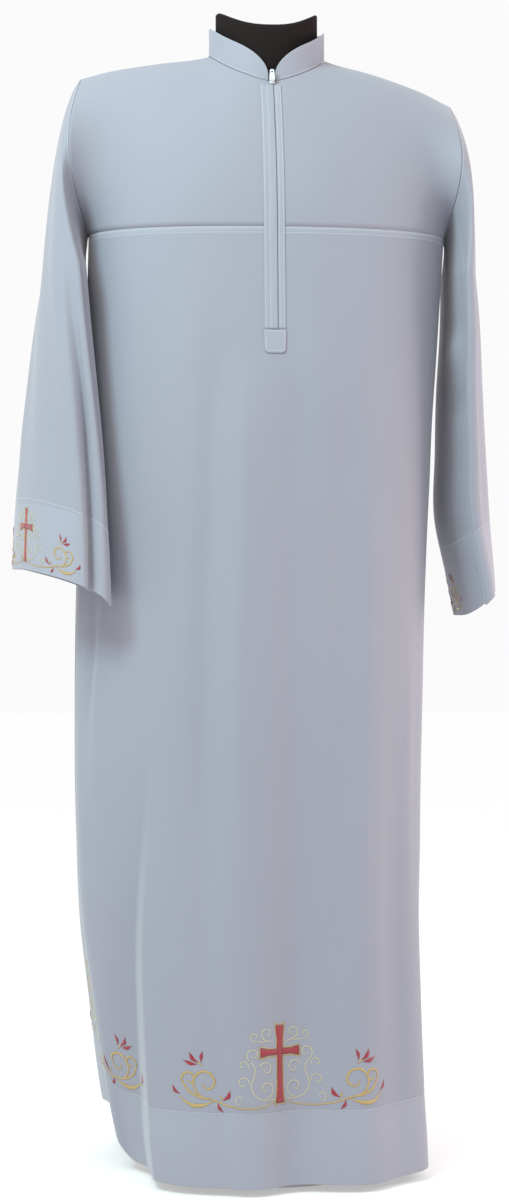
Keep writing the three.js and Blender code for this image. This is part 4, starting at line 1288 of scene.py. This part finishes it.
def stroke(place, line, widths, size, rise):
    """A domed, closed band of satin stitches along a line of the flat design."""
    way = unit(np.gradient(line, axis=0))
    side = np.stack([way[:, 1], -way[:, 0]], -1)
    share = np.linspace(0, 1, len(line))
    first, second = widths[1] - widths[0], widths[2] - widths[1]
    wide = widths[0] + first * smooth(share * 2) + second * smooth(share * 2 - 1)
    across = np.array([-0.5, -0.28, 0, 0.28, 0.5])
    flat = (line[:, None] + side[:, None] * (wide[:, None] * across)[..., None]) * size
    p = place(flat[..., 0], flat[..., 1])
    t, h = line[:, 0] * size, line[:, 1] * size
    n = unit(np.cross(place(t + 1, h) - place(t - 1, h), place(t, h + 1) - place(t, h - 1)))
    top = rise * np.clip(0.45 + wide * size * 0.14, 0.4, 1)
    lifts = np.array([0.12, 0.72, 1.0, 0.72, 0.12])
    ring = p + n[:, None] * (0.15 + top[:, None] * lifts)[..., None]
    under = (p[:, 2] - n * 0.3)[:, None]
    return np.concatenate([ring, under], 1)


CUFF_SIZE = 0.7  # of the cuffs' emblem beside the hem's
CUFF_Z = 800.0  # the level where the way round a cuff is measured
HEM_EMBLEMS = {"front": 0, "right": -95, "left": 114, "back": 180}  # directions of their middles
CUFF_EMBLEMS = {"right": 350, "left": 242}


def embroider(name, place, size=1.0):
    """Sews the emblem on a part of the cloth. place turns flat millimetres into points of the cloth."""
    rise = bpy.context.scene.alb_embroidery.rise / MM
    for key in ("crimson", "gold", "pale_gold"):
        points, faces, first = [], [], 0
        for thread, line, widths in emblem():
            if thread != key:
                continue
            rings = stroke(place, line, widths, size, rise)
            count = len(rings)
            points.append(rings.reshape(-1, 3))
            for i in range(count - 1):
                for k in range(6):
                    a, b = first + i * 6 + k, first + i * 6 + (k + 1) % 6
                    faces.append((a, b, b + 6, a + 6))
            last = first + (count - 1) * 6
            faces.append([first + k for k in reversed(range(6))])
            faces.append([last + k for k in range(6)])
            first += count * 6
        finish_piece(f"{name}_{key}", np.concatenate(points), faces, MATERIALS[key])


def along_cloth(points):
    """Length along a row of points, from its middle."""
    run = lengths(points)
    return run - run[len(run) // 2]


def skirt_place(middle, low=4):
    """Turns flat places round a direction of the skirt into points just above its hem's stitching."""
    turns = np.linspace(middle - 75, middle + 75, 901)
    run = along_cloth(skirt_point(turns, hem_at(turns) + HEM_DEEP + 50))

    def place(t, h):
        turn = np.interp(t, run, turns)
        return skirt_point(turn, hem_at(turn) + HEM_DEEP + low + h)

    return place


def sleeve_place(sleeve, middle, low=5):
    """Turns flat places round a direction of a sleeve into points above its hem."""
    turns = np.linspace(middle - 150, middle + 150, 901)
    run = along_cloth(sleeve_ring(sleeve, turns % 360, np.full_like(turns, CUFF_Z)))

    def place(t, h):
        turn = np.interp(-t * sleeve["side"], run, turns) % 360
        return sleeve_point(sleeve, turn, 1 - (low + h) / (FIRST_RING - sleeve_hem(sleeve, turn)))

    return place


def make_embroidery():
    """One emblem at each side of the skirt's hem and one on each cuff."""
    for name, middle in HEM_EMBLEMS.items():
        embroider(f"hem_emblem_{name}", skirt_place(middle))
    for name, middle in CUFF_EMBLEMS.items():
        embroider(f"cuff_emblem_{name}", sleeve_place(SLEEVES[name], middle), CUFF_SIZE)


# ---- the stage --------------------------------------------------------------------------------
# Degrees, metres, and the lens in millimetres.
CAMERA = {"azimuth": -5, "distance": 3.5, "height": 0.729, "aside": -0.0155, "lens": 81.06}
# Each light: place, target, power in watts, size, colour.
LIGHTS = {
    "key_light": ((-1.5, -1.5, 2.7), (0, 0, 1.25), 50, 0.6, (0.62, 0.98, 1.0)),
    "high_light": ((-0.9, -1.6, 3.0), (0, 0, 1.3), 22, 0.8, (1.0, 0.95, 0.8)),
    "fill_light": ((1.3, -0.1, 0.9), (0.28, 0, 0.85), 9, 0.5, (1.0, 0.82, 0.76)),
}
ROOM_COLOUR, ROOM_STRENGTH = (1.0, 0.99, 1.0, 1), 0.97
FLOOR_COLOUR, FLOOR_GLOW, FLOOR_HALF = (0.55, 0.55, 0.55), 0.42, 14


def make_camera():
    """A long lens from the front, level with the middle of the alb."""
    scene = bpy.context.scene
    data = bpy.data.cameras.new("camera")
    data.lens = CAMERA["lens"]
    data.sensor_width = 36
    data.dof.use_dof = False
    camera = bpy.data.objects.new("camera", data)
    scene.collection.objects.link(camera)
    angle = math.radians(CAMERA["azimuth"])
    back = Vector((math.sin(angle), -math.cos(angle), 0))
    right = Vector((math.cos(angle), math.sin(angle), 0))
    camera.location = back * CAMERA["distance"] + right * CAMERA["aside"] + Vector((0, 0, CAMERA["height"]))
    camera.rotation_mode = "QUATERNION"
    camera.rotation_quaternion = (-back).to_track_quat("-Z", "Y")
    scene.camera = camera


def area_light(name, place, target, power, size, colour):
    """A square softbox."""
    data = bpy.data.lights.new(name, "AREA")
    data.energy = power
    data.size = size
    data.color = colour
    light = bpy.data.objects.new(name, data)
    bpy.context.scene.collection.objects.link(light)
    light.location = place
    light.rotation_mode = "QUATERNION"
    light.rotation_quaternion = (Vector(target) - Vector(place)).to_track_quat("-Z", "Y")


def make_floor():
    """A plain pale floor."""
    material = speckled_material("pale_floor", FLOOR_COLOUR, 0.9, scale=2, depth=0.0001, spread=0.01)
    shader = material.node_tree.nodes["Principled BSDF"]
    shader.inputs["Emission Color"].default_value = (1, 1, 1, 1)
    shader.inputs["Emission Strength"].default_value = FLOOR_GLOW
    mesh = bpy.data.meshes.new("floor")
    corners = [(x * FLOOR_HALF, y * FLOOR_HALF, 0) for x, y in ((-1, -1), (1, -1), (1, 1), (-1, 1))]
    mesh.from_pydata(corners, [], [(0, 1, 2, 3)])
    mesh.materials.append(material)
    floor = bpy.data.objects.new("floor", mesh)
    bpy.context.scene.collection.objects.link(floor)


def make_stage():
    """The camera, the room's even light, the three softboxes and the floor."""
    make_camera()
    scene = bpy.context.scene
    world = bpy.data.worlds.new("studio")
    world.use_nodes = True
    background = world.node_tree.nodes["Background"]
    background.inputs["Color"].default_value = ROOM_COLOUR
    background.inputs["Strength"].default_value = ROOM_STRENGTH
    scene.world = world
    scene.view_settings.view_transform = "Standard"
    for name, values in LIGHTS.items():
        area_light(name, *values)
    make_floor()


HARD_FINISHES = {
    "form": "jersey",
    "pole": "steel",
    "foot": "steel",
    "zip_slider": "enamel",
    "zip_pull": "enamel",
}


def dress_form():
    """Gives the hard parts that are kept as they are their finishes."""
    for name, key in HARD_FINISHES.items():
        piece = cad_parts[name]
        piece.data.materials.clear()
        piece.data.materials.append(MATERIALS[key])


# ---- operators --------------------------------------------------------------------------------
class ALB_OT_stage(bpy.types.Operator):
    """Makes the camera, the lights and the pale floor"""

    bl_idname = "alb.stage"
    bl_label = "Stage"

    def execute(self, context):
        make_stage()
        return {"FINISHED"}


class ALB_OT_materials(bpy.types.Operator):
    """Makes the cloth, thread, enamel, jersey and steel"""

    bl_idname = "alb.materials"
    bl_label = "Materials"

    def execute(self, context):
        make_materials()
        return {"FINISHED"}


class ALB_OT_form(bpy.types.Operator):
    """Finishes the dress form, its stand, the zip's slider and its pull tab"""

    bl_idname = "alb.form"
    bl_label = "Dress form"

    def execute(self, context):
        dress_form()
        return {"FINISHED"}


class ALB_OT_skirt(bpy.types.Operator):
    """Hangs the front and back panels below the yokes"""

    bl_idname = "alb.skirt"
    bl_label = "Front and back panels"

    def execute(self, context):
        make_skirt()
        return {"FINISHED"}


class ALB_OT_yokes(bpy.types.Operator):
    """Lays the yokes over the shoulders"""

    bl_idname = "alb.yokes"
    bl_label = "Yokes"

    def execute(self, context):
        make_yokes()
        return {"FINISHED"}


class ALB_OT_sleeves(bpy.types.Operator):
    """Hangs both sleeves"""

    bl_idname = "alb.sleeves"
    bl_label = "Sleeves"

    def execute(self, context):
        make_sleeves()
        return {"FINISHED"}


class ALB_OT_collar(bpy.types.Operator):
    """Stands the collar in the neck hole"""

    bl_idname = "alb.collar"
    bl_label = "Collar"

    def execute(self, context):
        make_collar()
        return {"FINISHED"}


class ALB_OT_placket(bpy.types.Operator):
    """Lays the fly, its strip and the tab over the zip"""

    bl_idname = "alb.placket"
    bl_label = "Placket"

    def execute(self, context):
        make_placket()
        return {"FINISHED"}


class ALB_OT_zip(bpy.types.Operator):
    """Makes the zip's tape and teeth"""

    bl_idname = "alb.zip"
    bl_label = "Zip"

    def execute(self, context):
        make_zip()
        return {"FINISHED"}


class ALB_OT_sewing(bpy.types.Operator):
    """Sews the seams, hems, cuffs, collar and placket"""

    bl_idname = "alb.sewing"
    bl_label = "Stitching"

    def execute(self, context):
        make_sewing()
        return {"FINISHED"}


class ALB_OT_embroidery(bpy.types.Operator):
    """Embroiders the hem and the cuffs"""

    bl_idname = "alb.embroidery"
    bl_label = "Embroidery"

    def execute(self, context):
        make_embroidery()
        return {"FINISHED"}


OPERATORS = (
    ALB_OT_stage,
    ALB_OT_materials,
    ALB_OT_form,
    ALB_OT_skirt,
    ALB_OT_yokes,
    ALB_OT_sleeves,
    ALB_OT_collar,
    ALB_OT_placket,
    ALB_OT_zip,
    ALB_OT_sewing,
    ALB_OT_embroidery,
)


class ALB_PT_panel(bpy.types.Panel):
    """Lists the sizes, the colours and the steps"""

    bl_idname = "ALB_PT_panel"
    bl_label = "Alb"
    bl_space_type = "VIEW_3D"
    bl_region_type = "UI"
    bl_category = "Alb"

    def draw(self, context):
        for group in (context.scene.alb_cloth, context.scene.alb_embroidery, context.scene.alb_form):
            for name in group.__annotations__:
                self.layout.prop(group, name)
        for operator in OPERATORS:
            self.layout.operator(operator.bl_idname)


GROUPS = {"alb_cloth": AlbCloth, "alb_embroidery": AlbEmbroidery, "alb_form": AlbForm}


def register():
    """Registers the groups, the operators and the panel."""
    for name, group in GROUPS.items():
        bpy.utils.register_class(group)
        setattr(bpy.types.Scene, name, bpy.props.PointerProperty(type=group))
    for kind in (*OPERATORS, ALB_PT_panel):
        bpy.utils.register_class(kind)


def unregister():
    """Takes them away again."""
    for kind in reversed((*OPERATORS, ALB_PT_panel)):
        bpy.utils.unregister_class(kind)
    for name, group in reversed(GROUPS.items()):
        delattr(bpy.types.Scene, name)
        bpy.utils.unregister_class(group)


def main():
    """Builds everything in order."""
    register()
    for operator in OPERATORS:
        group, name = operator.bl_idname.split(".")
        getattr(getattr(bpy.ops, group), name)()


if __name__ == "__main__":
    main()
